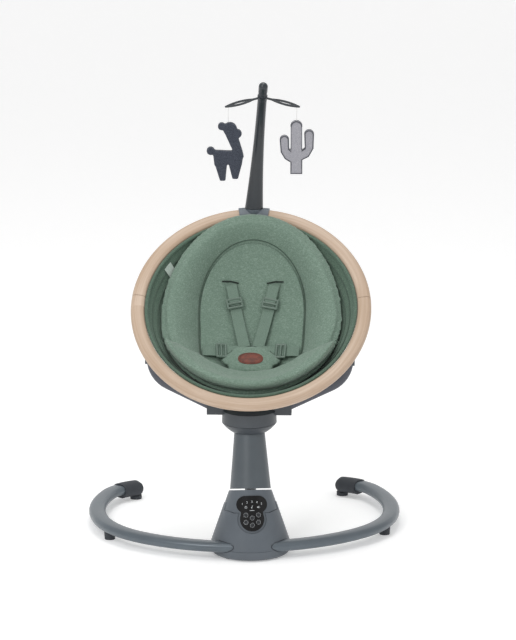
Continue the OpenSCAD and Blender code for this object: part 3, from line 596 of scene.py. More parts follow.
def on_seat(rho, phi, h):
    """Point at a share rho of the way from the deepest place to the rim, at an angle, h above the bowl."""
    return SEAT @ Vector((
        rho * LINER_R * math.cos(phi),
        SEAT_MID * (1 - rho) + rho * LINER_R * math.sin(phi),
        seat_depth(rho) + h,
    ))


def seat_rho(x, v):
    a = SEAT_MID * SEAT_MID - LINER_R * LINER_R
    b = SEAT_MID * (v - SEAT_MID)
    c = x * x + (v - SEAT_MID) ** 2
    return (-b - math.sqrt(b * b - a * c)) / a


def seat_point(x, v, h):
    return SEAT @ Vector((x, v, seat_depth(seat_rho(x, v)) + h))


def swing_between(side, top, low):
    """Value round the seat that is side at the sides, top at the head and low at the feet."""
    def value(phi):
        s = math.sin(phi)
        return side + ((top if s > 0 else low) - side) * s * s
    return value


pad_reach = swing_between(0.885, 1.035, 0.90)
panel_reach = swing_between(0.50, 0.86, 0.60)


def ripple(place, size, amount):
    """Seeded soft unevenness of stuffed cloth."""
    return amount * noise.noise(Vector(place) / size)


def pad_height(rho, phi):
    """Upper surface of the pad above the bowl: a bolster round a lower middle."""
    rise = bpy.context.scene.swing_settings.bolster
    inner = panel_reach(phi)
    edge = pad_reach(phi)
    if rho < inner:
        return 19 * MM
    u = (rho - inner) / (edge - inner)
    bolster = rise * math.sin(math.pi * min(1.0, u * 1.05)) ** 0.8 if u < 0.95 else 0
    roll = math.sqrt(max(0.0, 1 - u ** 7))
    return 11 * MM + (8 * MM + bolster * 1.15) * roll


def revolve_pad(name, height_top, height_low, reach, rings, sides, wrinkle):
    """Closed polar cushion between two height rules."""
    points, faces = [], []
    for layer, rule in enumerate((height_top, height_low)):
        for i in range(1, rings + 1):
            for j in range(sides):
                phi = 2 * math.pi * j / sides
                share = i / rings
                rho = share * reach(phi)
                h = rule(rho, phi)
                p = on_seat(rho, phi, h)
                if layer == 0:
                    p += SEAT.to_3x3() @ Vector((0, 0, ripple(p, 0.035, wrinkle) * (1 - share ** 6)))
                points.append(p)
    count = rings * sides
    faces += grid_faces(rings, sides)
    faces += [tuple(reversed(f)) for f in grid_faces(rings, sides, base=count)]
    last = (rings - 1) * sides
    for j in range(sides):
        onward = (j + 1) % sides
        faces.append((last + j, last + onward, count + last + onward, count + last + j))
    faces.append(tuple(range(sides)))
    faces.append(tuple(count + j for j in reversed(range(sides))))
    return outward(mesh_of(name, points, faces))


def inflate(obj, voxel, pressure, cap, frames=20):
    """Stuffs a closed cushion by cloth simulation, no point moving further than the cap."""
    remesh = obj.modifiers.new("Remesh", "REMESH")
    remesh.mode = "VOXEL"
    remesh.voxel_size = voxel
    apply_modifiers(obj)
    rest = [v.co.copy() for v in obj.data.vertices]
    cloth = obj.modifiers.new("Cloth", "CLOTH")
    cloth.settings.use_pressure = True
    cloth.settings.uniform_pressure_force = pressure
    cloth.settings.effector_weights.gravity = 0.0
    cloth.settings.quality = 5
    cloth.settings.tension_stiffness = 30.0
    cloth.settings.bending_stiffness = 2.0
    cloth.point_cache.frame_start = 1
    cloth.point_cache.frame_end = frames
    for step in range(1, frames + 1):
        bpy.context.scene.frame_set(step)
    apply_modifiers(obj)
    bpy.context.scene.frame_set(1)
    for vertex, home in zip(obj.data.vertices, rest):
        move = vertex.co - home
        if move.length > cap:
            vertex.co = home + move * (cap / move.length)
    return obj


def apply_modifiers(obj):
    bpy.context.view_layer.update()
    evaluated = obj.evaluated_get(bpy.context.evaluated_depsgraph_get())
    mesh = bpy.data.meshes.new_from_object(evaluated)
    finish = obj.data.materials[0]
    obj.modifiers.clear()
    obj.data = mesh
    mesh.materials.clear()
    mesh.materials.append(finish)


def subdivide(obj, levels=1):
    modifier = obj.modifiers.new("Smooth", "SUBSURF")
    modifier.levels = levels
    modifier.render_levels = levels
    return obj


# ---- Pieces ----
SKINS = {
    "frame_tube_left": "frame_paint", "frame_tube_right": "frame_paint",
    "tube_end_cap_left": "soft_rubber", "tube_end_cap_right": "soft_rubber",
    "base_plate": "base_plastic", "housing_shell": "base_plastic", "housing_front": "base_plastic",
    "control_panel": "panel_black", "post_shell": "post_plastic", "hub_bowl": "dark_plastic",
    "hub_housing": "dark_plastic", "yoke_arm_left": "yoke_paint", "yoke_arm_right": "yoke_paint",
    "hoop_lower": "hoop_wood", "hoop_upper_left": "hoop_wood", "hoop_upper_right": "hoop_wood",
    "arm_socket": "socket_grey", "toy_arm": "arm_plastic", "arm_end_cap": "arm_plastic",
    "arm_collars": "soft_rubber", "crossbar": "arm_plastic", "frame_feet": "soft_rubber",
}
SOFT = (
    "bucket_liner", "seat_pad", "centre_panel", "shoulder_strap_left", "shoulder_strap_right",
    "waist_strap_left", "waist_strap_right", "strap_adjusters", "crotch_cover", "badge",
    "alpaca_toy", "cactus_toy", "alpaca_string", "cactus_string",
)


def build_skins():
    for node, finish in SKINS.items():
        skinned_copy(node, finish)
    painted = {"hub_screws": "dark_plastic", "recline_pins": "dark_plastic"}
    for node, obj in NODES.items():
        if node not in SKINS and node not in SOFT:
            obj.data.materials[0] = FINISHES[painted.get(node, SLOT_OF[node])]


def cone_radius(z):
    """Radius of the housing's cone at a height."""
    return CONE_FOOT[0] - max(0.0, z - CONE_FOOT[1]) * math.tan(SLOPE)


def build_tube_seals():
    """Dark sealing line where each tube of the floor frame runs into the housing."""
    for side, name in SIDES:
        line = []
        for t in round_turn(48):
            out = TUBE_ARC + TUBE_SIZE[0] / 2 * math.copysign(abs(math.cos(t)) ** 0.9, math.cos(t))
            z = TUBE_Z + TUBE_SIZE[1] / 2 * math.copysign(abs(math.sin(t)) ** 0.9, math.sin(t))
            cone = cone_radius(z)
            turn = math.radians(3)
            while turn < math.radians(20):
                spot = Vector((out * math.sin(turn), TUBE_BACK - out * math.cos(turn), z))
                if spot.to_2d().length > cone:
                    break
                turn += math.radians(0.05)
            line.append((side * spot.x, spot.y, spot.z))
        piping("tube_seal_" + name, [line], 1.0 * MM, "soft_rubber", "base", True)


def build_liner():
    """Fabric bucket with a casing at the hoop, two rows of piping and sewn gores outside."""
    rings, sides = 40, 160
    gores = 10

    def reach(phi):
        return 0.995

    def inside(rho, phi):
        return 0.0

    def outside(rho, phi):
        seam = abs(math.sin(gores * phi / 2)) ** 0.35
        return -(4.2 + 1.6 * seam * min(1.0, rho * 1.6)) * MM

    mesh = revolve_pad("bucket_liner_cloth", inside, outside, reach, rings, sides, 1.2 * MM)
    liner = add_object(
        "bucket_liner_cloth", mesh, "liner_fabric", "seat", ("bucket_liner",), 50
    )
    turns = round_turn(sides)

    def ring(radius, n):
        return [SEAT @ Vector((radius * math.cos(t), radius * math.sin(t), n)) for t in turns]

    piping("liner_casing", [ring(226.1 * MM, 3 * MM)], 4.1 * MM, "liner_fabric", "seat", True)
    rows = [[on_seat(r, t, 1.2 * MM) for t in turns] for r in (0.945, 0.90)]
    piping("liner_piping", rows, 1.3 * MM, "seam_thread", "seat", True)
    seams = [
        [on_seat(0.25 + 0.72 * i / 40, t, -6.2 * MM) for i in range(41)]
        for t in round_turn(gores)
    ]
    stitches("liner_seams", seams, "seam_thread", "seat", 5 * MM)


def build_pad():
    """Seat pad: a bolster round a lower middle, rolled over the hoop at the head."""
    def under(rho, phi):
        edge = pad_reach(phi)
        return 2 * MM + 9 * MM * max(0.0, (rho / edge - 0.86) / 0.14) ** 2

    mesh = revolve_pad("seat_pad_cushion", pad_height, under, pad_reach, 56, 150, 2.0 * MM)
    pad = add_object("seat_pad_cushion", mesh, "seat_fabric", "seat", ("seat_pad",), 70)
    inflate(pad, 4 * MM, 4.0, 3.5 * MM)
    soften(pad.data, 80)
    subdivide(pad)


def panel_height(rho, phi):
    u = rho / panel_reach(phi)
    crown = 1 - u ** 4
    return 26 * MM + 7.5 * MM * math.sqrt(max(0.0, crown))


def build_centre_panel():
    """Soft egg-shaped panel sewn into the middle of the pad, with a seam round it."""
    def under(rho, phi):
        return 18 * MM

    def reach(phi):
        return panel_reach(phi) * 0.985

    mesh = revolve_pad("centre_panel_cushion", panel_height, under, reach, 34, 120, 1.4 * MM)
    panel = add_object(
        "centre_panel_cushion", mesh, "seat_fabric", "seat", ("centre_panel",), 70
    )
    soften(panel.data, 80)
    subdivide(panel)
    seam = [[on_seat(panel_reach(t), t, 28 * MM) for t in round_turn(150)]]
    piping("centre_panel_seam", seam, 1.2 * MM, "seam_thread", "seat", True)


# Upper edge of the front lip, as pairs of distance from the middle and height in the hoop's plane
LIP_EDGE = [(0, -122), (45, -119), (77, -108), (119, -84), (150, -78), (181, -88)]
LIP_W = 181 * MM


def lip_top(x):
    x = abs(x) / MM
    for (x0, v0), (x1, v1) in zip(LIP_EDGE, LIP_EDGE[1:]):
        if x <= x1:
            t = (x - x0) / (x1 - x0)
            return (v0 + (v1 - v0) * t * t * (3 - 2 * t)) * MM
    return LIP_EDGE[-1][1] * MM


def lip_low(x):
    return -6 * MM - math.sqrt((201 * MM) ** 2 - x * x)


def build_lip():
    """Raised front lip under the knees, pinched to a corner at each end."""
    cols, rows = 90, 26
    thick = bpy.context.scene.swing_settings.lip
    points = []
    for layer in (1, -1):
        for i in range(cols + 1):
            s = -1 + 2 * i / cols
            x = LIP_W * math.sin(s * math.pi / 2)
            v0, v1 = lip_top(x), lip_low(x)
            ends = math.sqrt(max(0.0, 1 - abs(s) ** 5))
            for j in range(rows + 1):
                w = j / rows
                v = v0 + (v1 - v0) * (w - 0.06 * math.sin(2 * math.pi * w))
                round_off = max(0.0, 1 - abs(2 * w - 1) ** 2.6) ** 0.5
                middle = (38 + 4 * w + 5 * s * s) * MM
                half = thick * (1 if layer > 0 else 0.77) * round_off * ends
                p = seat_point(x, v, middle + layer * half)
                bulge = layer * ripple(p, 0.04, 1.6 * MM) * round_off * ends
                points.append(p + SEAT.to_3x3() @ Vector((0, 0, bulge)))
    count = (cols + 1) * (rows + 1)
    faces = [tuple(reversed(f)) for f in grid_faces(cols + 1, rows + 1, loop=False)]
    faces += grid_faces(cols + 1, rows + 1, loop=False, base=count)
    mesh = outward(mesh_of("front_lip_cushion", points, faces))
    lip = add_object("front_lip_cushion", mesh, "seat_fabric", "seat", (), 80)
    inflate(lip, 5 * MM, 3.0, 3 * MM)
    soften(lip.data, 80)
    subdivide(lip)
    edge = []
    for x in range(-178, 179, 4):
        height = (39 + 5 * (x / 181) ** 2) * MM
        edge.append(seat_point(x * MM, lip_top(x * MM) - 1 * MM, height))
    piping("front_lip_seam", [edge], 1.0 * MM, "seam_thread", "seat")
    for side, name in SIDES:
        knot = []
        for i in range(15):
            t = math.pi * i / 14
            knot.append(seat_point(side * 183 * MM, -86 * MM, 30 * MM)
                        + SEAT.to_3x3() @ Vector((side * 7 * MM * math.sin(t), 5 * MM * math.cos(t), 3 * MM)))
        piping("corner_loop_" + name, [knot], 0.8 * MM, "seam_thread", "seat")


def ribbon(name, path, width, thick, finish, replaces=()):
    """Flat webbing along a path of (point, up) pairs, rounded at its edges, with a map in metres."""
    section = [(-1, 0.15), (-0.97, 1), (0.97, 1), (1, 0.15), (1, -0.15), (0.97, -1), (-0.97, -1), (-1, -0.15)]
    points, run = [], 0.0
    runs = []
    for k, (p, up) in enumerate(path):
        ahead = path[min(k + 1, len(path) - 1)][0] - path[max(k - 1, 0)][0]
        across = ahead.cross(up).normalized()
        lift = across.cross(ahead).normalized()
        if k:
            run += (p - path[k - 1][0]).length
        runs.append(run)
        for u, w in section:
            points.append(p + across * (u * width / 2) + lift * (w * thick / 2))
    cols = len(section)
    faces = grid_faces(len(path), cols)
    faces += [tuple(range(cols)), tuple(reversed(range((len(path) - 1) * cols, len(path) * cols)))]
    mesh = mesh_of(name, points, faces)
    layer = mesh.uv_layers.new(name="weave")
    for loop in mesh.loops:
        k, j = divmod(loop.vertex_index, cols)
        layer.data[loop.index].uv = (section[j][0] * width / 2, runs[k])
    with editing(mesh) as bm:
        bmesh.ops.recalc_face_normals(bm, faces=bm.faces)
    return add_object(name, mesh, finish, "seat", replaces, 50)


SEAT_UP = SEAT.to_3x3() @ Vector((0, 0, 1))
STRAP_W = 25 * MM


def strap_path(start, end, lifts, steps=24):
    """Straight line over the seat at heights that follow the list of lifts."""
    path = []
    for k in range(steps + 1):
        t = k / steps
        place = t * (len(lifts) - 1)
        i = min(int(place), len(lifts) - 2)
        share = place - i
        share = share * share * (3 - 2 * share)
        h = lifts[i] + (lifts[i + 1] - lifts[i]) * share
        x = (start[0] + (end[0] - start[0]) * t) * MM
        v = (start[1] + (end[1] - start[1]) * t) * MM
        path.append((seat_point(x, v, h * MM), SEAT_UP))
    return path


def glide(points, faces, centre, along, up, width):
    """Three-bar slide: a rounded frame with one bar across, added to the lists."""
    across = along.cross(up).normalized()
    up = across.cross(along).normalized()
    half_w = width / 2 + 3.2 * MM
    half_l, bar, deep, sides = 9.5 * MM, 2.9 * MM, 2.1 * MM, 12

    def beam(a, b, r1, r2):
        direction = (b - a).normalized()
        side = direction.cross(up).normalized()
        first = len(points)
        for end in (a, b):
            for t in round_turn(sides):
                points.append(end + side * (r1 * math.cos(t)) + up * (r2 * math.sin(t)))
        faces.extend(grid_faces(2, sides, base=first))
        faces.append(tuple(first + k for k in reversed(range(sides))))
        faces.append(tuple(first + sides + k for k in range(sides)))

    def corner(s, t):
        return centre + across * (half_w * s) + along * (half_l * t)

    for t in (-1, 0, 1):
        beam(corner(-1, t), corner(1, t), bar, deep * (1.25 if t == 0 else 1))
    for s in (-1, 1):
        beam(corner(s, -1.18), corner(s, 1.18), bar, deep)


def build_harness():
    """Two shoulder straps and two waist straps, their slides, and a near-black cord of painted shade in the slots
    they come out of.
    """
    points, faces = [], []
    slots = []
    for side, name in SIDES:
        top, low = (side * 49, 103), (side * 15, -50)
        web = strap_path(top, low, [34, 40, 41.5, 43.5, 46, 48])
        ribbon("shoulder_strap_" + name + "_web", web, STRAP_W, 1.6 * MM,
               "webbing", ("shoulder_strap_" + name,))
        middle = (side * 37, 51)
        ribbon("shoulder_strap_" + name + "_turn", strap_path((side * 47, 96), middle, [38, 43, 45, 43]),
               STRAP_W * 0.94, 1.5 * MM, "webbing")
        a, b = seat_point(side * 41 * MM, 66 * MM, 44 * MM), seat_point(side * 36 * MM, 44 * MM, 45 * MM)
        glide(points, faces, (a + b) / 2, (b - a).normalized(), SEAT_UP, STRAP_W)
        slots.append([seat_point((side * 49 + dx) * MM, (104 - abs(dx) * 0.12) * MM, 36.2 * MM)
                      for dx in range(-18, 19, 3)])
        start, end = (side * 26, -62), (side * 104, -66)
        web = strap_path(start, end, [51, 49, 46, 42, 36])
        ribbon("waist_strap_" + name + "_web", web, STRAP_W, 1.6 * MM,
               "webbing", ("waist_strap_" + name,))
        a, b = seat_point(side * 56 * MM, -64 * MM, 50 * MM), seat_point(side * 72 * MM, -65 * MM, 48 * MM)
        glide(points, faces, (a + b) / 2, (b - a).normalized(), SEAT_UP, STRAP_W)
    mesh = outward(mesh_of("strap_slides", points, faces))
    add_object("strap_slides", mesh, "buckle_plastic", "seat", ("strap_adjusters",), 50)
    # painted shade: a near-black cord along each slot stands for the shade inside the opening
    piping("strap_slot_shade", slots, 1.7 * MM, "slot_dark", "seat")


BUCKLE = (
    SEAT @ Matrix.Translation((0, BUCKLE_MID, seat_depth(seat_rho(0, BUCKLE_MID)) + HARNESS_H + 3 * MM))
    @ Matrix.Rotation(math.radians(-12), 4, "X")
)
COVER_SIDE = [(42, 36), (30, 42), (14, 58), (6, 63), (-4, 58), (-14, 48), (-33, 44)]


def cover_width(b):
    rows = sorted(COVER_SIDE)
    for (b0, w0), (b1, w1) in zip(rows, rows[1:]):
        if b <= b1:
            t = (b - b0) / (b1 - b0)
            return w0 + (w1 - w0) * t * t * (3 - 2 * t)
    return rows[-1][1]


def cover_point(a, b, lift):
    """Point on the cover, a and b in millimetres from the badge's centre: its wings and foot droop."""
    droop = 9 * (abs(a) / 63) ** 2.2
    if b < -8:
        droop += 7 * ((-b - 8) / 25) ** 2
    if b > 0:
        droop += 3 * (b / 42) ** 2
    return BUCKLE @ Vector((a * MM, b * MM, (17.5 - droop + lift) * MM))


def build_cover():
    """Padded cover over the buckle with a piped edge and a stitched leather badge."""
    rows, cols = 34, 40
    points = []
    for layer in (1, -1):
        for i in range(rows + 1):
            b = 42 - 75 * i / rows
            wide = cover_width(b)
            for j in range(cols + 1):
                s = -1 + 2 * j / cols
                edge = max(0.0, 1 - abs(s) ** 4) ** 0.5 * max(0.0, 1 - abs(2 * i / rows - 1) ** 8) ** 0.5
                lift = 3 + layer * (3.6 if layer > 0 else 2.2) * edge
                p = cover_point(s * wide, b, lift)
                points.append(p + SEAT_UP * (ripple(p, 0.02, 0.7 * MM) * edge * layer))
    count = (rows + 1) * (cols + 1)
    faces = grid_faces(rows + 1, cols + 1, loop=False)
    faces += [tuple(reversed(f)) for f in grid_faces(rows + 1, cols + 1, loop=False, base=count)]
    mesh = outward(mesh_of("crotch_cover_cushion", points, faces))
    cover = add_object(
        "crotch_cover_cushion", mesh, "seat_fabric", "seat", ("crotch_cover",), 70
    )
    subdivide(cover)
    left = [cover_point(-cover_width(b), b, 3) for b in range(-33, 43, 3)]
    right = [cover_point(cover_width(b), b, 3) for b in range(42, -34, -3)]
    piping("crotch_cover_piping", [left + right], 1.4 * MM, "seam_thread", "seat", True)
    build_badge()


BADGE = (27, 17)


def badge_point(t, share, lift):
    """Point of the badge's full oval at an angle and a share of the way out."""
    a = BADGE[0] * share * math.copysign(abs(math.cos(t)) ** 0.85, math.cos(t))
    b = BADGE[1] * share * math.copysign(abs(math.sin(t)) ** 0.85, math.sin(t))
    return cover_point(a, b, lift)


def build_badge():
    """Domed leather oval with a pressed groove that holds its stitches."""
    rings, sides, groove_at = 10, 64, 0.86
    points = []
    for i in range(1, rings + 1):
        r = i / rings
        groove = 0.35 * math.exp(-((r - groove_at) / 0.05) ** 2)
        points += [badge_point(t, r, 8.3 - 0.9 * r ** 12 - groove) for t in round_turn(sides)]
    points += [badge_point(t, 1, 6.0) for t in round_turn(sides)]
    faces = grid_faces(rings + 1, sides)
    faces += [tuple(range(sides)), tuple(reversed(range(rings * sides, (rings + 1) * sides)))]
    mesh = outward(mesh_of("badge_leather_oval", points, faces))
    add_object("badge_leather_oval", mesh, "badge_leather", "seat", ("badge",), 50)
    ring = [badge_point(t, groove_at, 8.2) for t in round_turn(90)]
    stitches("badge_stitches", [ring], "leather_thread", "seat", 3 * MM, True, 0.3 * MM)


def build_tag():
    """Small blank fabric tag lying on the liner near its edge."""
    corners = []
    for u in range(4):
        for w in range(3):
            corners.append(on_seat(0.965 - 0.03 * w, math.radians(151 - 2.0 * u), (4 + 0.6 * w) * MM))
    faces = grid_faces(4, 3, loop=False)
    tag = add_object("hoop_tag", mesh_of("hoop_tag", corners, faces), "tag_white", "seat")
    solid = tag.modifiers.new("Thickness", "SOLIDIFY")
    solid.thickness = 0.8 * MM
    apply_modifiers(tag)


# ---- Control panel's print ----
PRINT_TREES = []
PANEL = (
    Matrix.Translation((0, INSET - cone_radius(PANEL_Z), PANEL_Z))
    @ Matrix.Rotation(math.pi / 2 - SLOPE, 4, "X")
)


def panel_surface(x, y, lift=0.0):
    """Point on the panel or a button, x and y in millimetres from the middle, a lift above the surface."""
    if not PRINT_TREES:
        keys = [n for n in NODES if n.endswith("_button") and BODY_OF[n] != "buckle_release"]
        for mesh in [NODES[n].data for n in ("control_panel", *keys)]:
            corners = [v.co for v in mesh.vertices]
            PRINT_TREES.append(BVHTree.FromPolygons(corners, [tuple(p.vertices) for p in mesh.polygons]))
    normal = PANEL.to_3x3() @ Vector((0, 0, 1))
    start = PANEL @ Vector((x * MM, y * MM, 40 * MM))
    hits = [tree.ray_cast(start, -normal, 0.08) for tree in PRINT_TREES]
    near = min((h for h in hits if h[0] is not None), key=lambda h: h[3])
    return near[0] + normal * (lift * MM)


def plate(name, outlines, height=0.25):
    """Thin raised prints from outlines on the panel, as one mesh."""
    points, faces = [], []
    for outline in outlines:
        first, n = len(points), len(outline)
        points += [panel_surface(x, y, height) for x, y in outline]
        points += [panel_surface(x, y, -0.3) for x, y in outline]
        faces.append(tuple(range(first, first + n)))
        faces.append(tuple(reversed(range(first + n, first + 2 * n))))
        faces += [(first + k, first + n + k, first + n + (k + 1) % n, first + (k + 1) % n) for k in range(n)]
    return outward(mesh_of(name, points, faces))


def disc(cx, cy, r, n=20):
    return [(cx + r * math.cos(t), cy + r * math.sin(t)) for t in round_turn(n)]


def bar(x0, y0, x1, y1, wide):
    dx, dy = x1 - x0, y1 - y0
    run = math.hypot(dx, dy)
    nx, ny = -dy / run * wide / 2, dx / run * wide / 2
    return [(x0 + nx, y0 + ny), (x0 - nx, y0 - ny), (x1 - nx, y1 - ny), (x1 + nx, y1 + ny)]


def ring_bars(cx, cy, r, wide, start=0, end=360, n=16):
    marks = []
    for k in range(n):
        a, b = [math.radians(start + (end - start) * step / n) for step in (k, k + 1)]
        first = (cx + r * math.cos(a), cy + r * math.sin(a))
        second = (cx + r * math.cos(b), cy + r * math.sin(b))
        marks.append(bar(*first, *second, wide))
    return marks


def build_panel_print():
    """Digits in an arc, three small signs, a line and the signs on the buttons."""
    for digit, (x, y) in zip("12345", [(-20.5, 21), (-10.5, 24), (0, 25.2), (10.5, 24), (20.5, 21)]):
        font = bpy.data.curves.new("digit_" + digit, "FONT")
        font.body = digit
        font.size = 6.4
        font.extrude = 0.15
        font.align_x = "CENTER"
        font.align_y = "CENTER"
        holder = bpy.data.objects.new("digit_" + digit, font)
        bpy.context.scene.collection.objects.link(holder)
        bpy.context.view_layer.update()
        mesh = bpy.data.meshes.new_from_object(holder.evaluated_get(bpy.context.evaluated_depsgraph_get()))
        bpy.data.objects.remove(holder)
        for vertex in mesh.vertices:
            px, py, pz = vertex.co
            vertex.co = panel_surface(x + px, y + py, 0.1 + pz)
        mesh.update()
        add_object("digit_" + digit, mesh, "print_white", "base", smooth=0)
    marks = []
    marks += ring_bars(-13, 13.5, 2.3, 0.6) + [bar(-13, 13.5, -13, 15.2, 0.6)]
    marks += [disc(-0.9, 12.4, 1.1), bar(0.1, 12.4, 0.1, 16.6, 0.6), bar(0.1, 16.6, 2.0, 15.6, 0.7)]
    marks += [[(11.2, 12.5), (12.6, 12.5), (14.2, 11.2), (14.2, 16.0), (12.6, 14.6), (11.2, 14.6)]]
    marks += ring_bars(14.2, 13.5, 2.4, 0.5, -45, 45, 5)
    marks += [bar(-5, 6.5, 5, 6.5, 0.9)]
    marks += ring_bars(0, -9.5, 4.6, 0.35) + ring_bars(0, -25, 4.6, 0.35)
    for x, y in ((-13.5, -3), (13.5, -3), (-13.5, -18.5), (13.5, -18.5)):
        marks += ring_bars(x, y, 4.6, 0.35)
    add_object("panel_signs", plate("panel_signs", marks), "print_white", "base", smooth=0)


# ---- Toys ----
def plush(node, finish):
    """Rounded felt toy from the CAD toy's shape."""
    obj = add_object(node + "_felt", merged_copy(node), finish, BODY_OF[node], (node,), 0)
    remesh = obj.modifiers.new("Remesh", "REMESH")
    remesh.mode = "VOXEL"
    remesh.voxel_size = 1.2 * MM
    smooth = obj.modifiers.new("Round", "SMOOTH")
    smooth.factor = 0.6
    smooth.iterations = 16
    apply_modifiers(obj)
    soften(obj.data, 180)
    return obj


def chains_of(edges):
    """Vertices of the edges, put in order along each chain."""
    links = {}
    for edge in edges:
        a, b = edge.verts
        links.setdefault(a, []).append(b)
        links.setdefault(b, []).append(a)
    chains, seen = [], set()
    for begin in links:
        chain = []
        onward = [begin] if begin not in seen else []
        while onward:
            here = onward[0]
            seen.add(here)
            chain.append(here)
            onward = [v for v in links[here] if v not in seen]
        chains.append(chain)
    return chains


def drawn_in(loop, across, inset):
    """A closed flat loop, moved towards its inside."""
    n = len(loop)
    area = sum((loop[k] - loop[0]).cross(loop[(k + 1) % n] - loop[0]).dot(across) for k in range(n))
    turn = 1 if area > 0 else -1
    ahead = [(loop[(k + 1) % n] - loop[k - 1]).normalized() for k in range(n)]
    return [loop[k] + across.cross(ahead[k]) * (turn * inset) for k in range(n)]


def outline_loops(node, inset, sink):
    """Closed front and back outlines of a flat CAD toy, drawn in and sunk a little."""
    source = bmesh.new()
    source.from_mesh(NODES[node].data)
    bmesh.ops.remove_doubles(source, verts=source.verts, dist=MERGE)
    across = Matrix.Rotation(SEAT_TURN + ARM_TURN, 3, "Z") @ Vector((0, 1, 0))
    reach = [v.co.dot(across) for v in source.verts]
    loops = []
    for level, sign in ((min(reach), 1), (max(reach), -1)):
        rim = [
            e for e in source.edges
            if all(abs(v.co.dot(across) - level) < 1e-4 for v in e.verts) and len(e.link_faces) == 2
            and e.calc_face_angle(0.0) > 1.0
        ]
        for chain in chains_of(rim):
            if len(chain) > 20:
                loops.append(drawn_in([v.co + across * (sign * sink) for v in chain], across, inset))
    source.free()
    return loops


def build_string(name):
    """Taut string from the crossbar to the toy of that name."""
    low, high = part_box(name + "_string")
    centre = [(low[k] + high[k]) / 2 for k in (0, 1)]
    top, foot = (centre[0], centre[1], high[2]), (centre[0], centre[1], low[2])
    curve = bpy.data.curves.new(name + "_string_line", "CURVE")
    curve.dimensions = "3D"
    curve.bevel_depth = 0.6 * MM
    curve.bevel_resolution = 3
    curve.use_fill_caps = True
    spline = curve.splines.new("POLY")
    spline.points.add(8)
    for k, point in enumerate(spline.points):
        point.co = (*[top[i] + (foot[i] - top[i]) * k / 8 for i in range(3)], 1)
    obj = bpy.data.objects.new(name + "_string_line", curve)
    bpy.context.scene.collection.objects.link(obj)
    curve.materials.append(FINISHES["string_white"])
    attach(obj, name)
    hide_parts(name + "_string")


def build_toys():
    """Felt toys, the stitches and binding on their edges, and their strings."""
    plush("alpaca_toy", "felt_dark")
    plush("cactus_toy", "felt_light")
    outline = outline_loops("alpaca_toy", 1.8 * MM, 0.7 * MM)
    stitches("alpaca_stitches", outline, "light_thread", "alpaca", 3.4 * MM, True, 0.45 * MM)
    outline = outline_loops("cactus_toy", 0.9 * MM, 0.8 * MM)
    piping("cactus_binding", outline, 1.5 * MM, "grey_thread", "cactus", True)
    for name in ("alpaca", "cactus"):
        build_string(name)


# ---- Stage ----
TARGET = Vector((0.01614, -0.00099, 0.51286))


def build_stage():
    """Pale floor, soft lights and the camera."""
    scene = bpy.context.scene
    corners = [(-20, -12, 0), (20, -12, 0), (20, 14, 0), (-20, 14, 0), (20, 14, 12), (-20, 14, 12)]
    floor = mesh_of("studio_floor", corners, [(0, 1, 2, 3), (3, 2, 4, 5)])
    ground = bpy.data.objects.new("studio_floor", floor)
    scene.collection.objects.link(ground)
    f = Finish("floor_paper", specular=0.1)
    f.shader.inputs["Emission Color"].default_value = (1, 1, 1, 1)
    f.shader.inputs["Emission Strength"].default_value = 0.3
    grain = f.noise(f.place(), 60.0, 3.0)
    floor.materials.append(f.done(f.mix(grain, (0.86, 0.86, 0.86, 1), (0.9, 0.9, 0.9, 1)), 0.9))
    world = bpy.data.worlds.new("studio")
    world.use_nodes = True
    sky = world.node_tree.nodes["Background"]
    sky.inputs["Color"].default_value = (1, 1, 1, 1)
    sky.inputs["Strength"].default_value = 0.62
    scene.world = world
    for name, place, size, power in (
        ("key_light", (-1.6, -2.2, 2.6), 1.2, 34),
        ("fill_light", (2.2, -1.6, 1.6), 2.0, 3),
        ("top_light", (0.0, 0.4, 3.2), 1.4, 26),
    ):
        light = bpy.data.lights.new(name, "AREA")
        light.size = size
        light.energy = power
        lamp = bpy.data.objects.new(name, light)
        lamp.location = place
        lamp.rotation_euler = (Vector((0, 0.1, 0.45)) - Vector(place)).to_track_quat("-Z", "Y").to_euler()
        scene.collection.objects.link(lamp)
    data = bpy.data.cameras.new("camera")
    data.lens = 238.0
    data.sensor_width = 36.0
    data.clip_end = 40.0
    camera = bpy.data.objects.new("camera", data)
    azimuth, rise = math.radians(-3.5), math.radians(13.8)
    level = math.cos(rise)
    direction = Vector((math.sin(azimuth) * level, -math.cos(azimuth) * level, math.sin(rise)))
    camera.location = TARGET + direction * 9.0
    camera.rotation_euler = (-direction).to_track_quat("-Z", "Y").to_euler()
    scene.collection.objects.link(camera)
    scene.camera = camera
    scene.view_settings.view_transform = "Standard"


# ---- Add-on ----
class SwingSettings(bpy.types.PropertyGroup):
    """Sizes and colours that a user would change."""

    tint: bpy.props.FloatVectorProperty(
        name="Upholstery colour", description="Main colour of the seat's fabric", subtype="COLOR", size=3,
        min=0.0, max=1.0, default=shade("869a8c")[:3],
    )
    bolster: bpy.props.FloatProperty(
        name="Bolster height", description="How far the pad's bolster stands above the lower middle",
        default=20 * MM, min=5 * MM, max=24 * MM, unit="LENGTH", subtype="DISTANCE",
    )
    lip: bpy.props.FloatProperty(
        name="Front lip thickness", description="Half the thickness of the cushion under the knees",
        default=22 * MM, min=10 * MM, max=28 * MM, unit="LENGTH", subtype="DISTANCE",
    )


class SWING_OT_stage(bpy.types.Operator):
    """Sets up the floor, the lights and the camera"""

    bl_idname = "swing.stage"
    bl_label = "Studio stage"

    def execute(self, context):
        build_stage()
        return {"FINISHED"}


class SWING_OT_finishes(bpy.types.Operator):
    """Makes the materials and the trees that later pieces share"""

    bl_idname = "swing.finishes"
    bl_label = "Materials"

    def execute(self, context):
        make_finishes(tuple(context.scene.swing_settings.tint))
        TREES.update(stitch=stitch_tree(), piping=piping_tree())
        return {"FINISHED"}


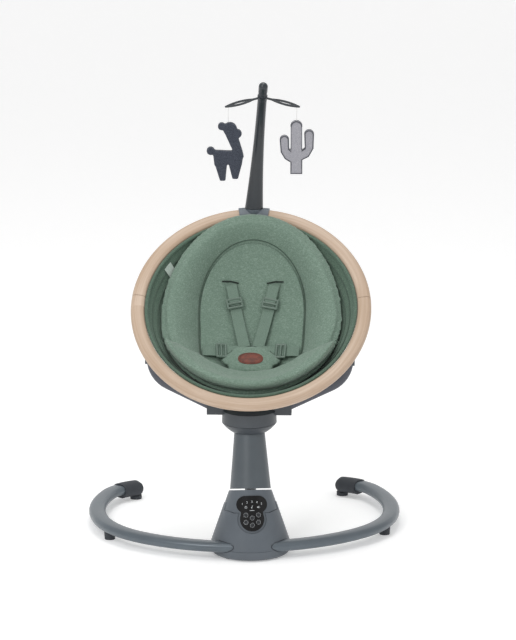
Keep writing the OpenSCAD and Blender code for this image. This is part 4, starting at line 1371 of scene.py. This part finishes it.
class SWING_OT_skins(bpy.types.Operator):
    """Finishes the frame, housing, post, yoke, hoop and toy arm"""

    bl_idname = "swing.skins"
    bl_label = "Hard pieces"

    def execute(self, context):
        build_skins()
        build_tube_seals()
        return {"FINISHED"}


class SWING_OT_panel(bpy.types.Operator):
    """Prints the digits and signs on the control panel"""

    bl_idname = "swing.panel"
    bl_label = "Panel print"

    def execute(self, context):
        build_panel_print()
        return {"FINISHED"}


class SWING_OT_upholstery(bpy.types.Operator):
    """Makes the liner, the pad, its middle panel and the front lip"""

    bl_idname = "swing.upholstery"
    bl_label = "Upholstery"

    def execute(self, context):
        build_liner()
        build_pad()
        build_centre_panel()
        build_lip()
        build_tag()
        return {"FINISHED"}


class SWING_OT_harness(bpy.types.Operator):
    """Makes the straps, their slides, the buckle cover and its badge"""

    bl_idname = "swing.harness"
    bl_label = "Harness"

    def execute(self, context):
        build_harness()
        build_cover()
        return {"FINISHED"}


class SWING_OT_toys(bpy.types.Operator):
    """Makes the two felt toys and their strings"""

    bl_idname = "swing.toys"
    bl_label = "Toys"

    def execute(self, context):
        build_toys()
        return {"FINISHED"}


STEPS = ("stage", "finishes", "skins", "panel", "upholstery", "harness", "toys")


class SWING_PT_pieces(bpy.types.Panel):
    """Lists the pieces of the swing"""

    bl_idname = "SWING_PT_pieces"
    bl_label = "Baby swing"
    bl_space_type = "VIEW_3D"
    bl_region_type = "UI"
    bl_category = "Swing"

    def draw(self, context):
        for name in ("tint", "bolster", "lip"):
            self.layout.prop(context.scene.swing_settings, name)
        for step in STEPS:
            self.layout.operator("swing." + step)


CLASSES = (
    SwingSettings, SWING_OT_stage, SWING_OT_finishes, SWING_OT_skins, SWING_OT_panel, SWING_OT_upholstery,
    SWING_OT_harness, SWING_OT_toys, SWING_PT_pieces,
)


def register():
    for cls in CLASSES:
        bpy.utils.register_class(cls)
    bpy.types.Scene.swing_settings = bpy.props.PointerProperty(type=SwingSettings)


def unregister():
    del bpy.types.Scene.swing_settings
    for cls in reversed(CLASSES):
        bpy.utils.unregister_class(cls)


def main():
    register()
    for step in STEPS:
        getattr(bpy.ops.swing, step)()


if __name__ == "__main__":
    main()
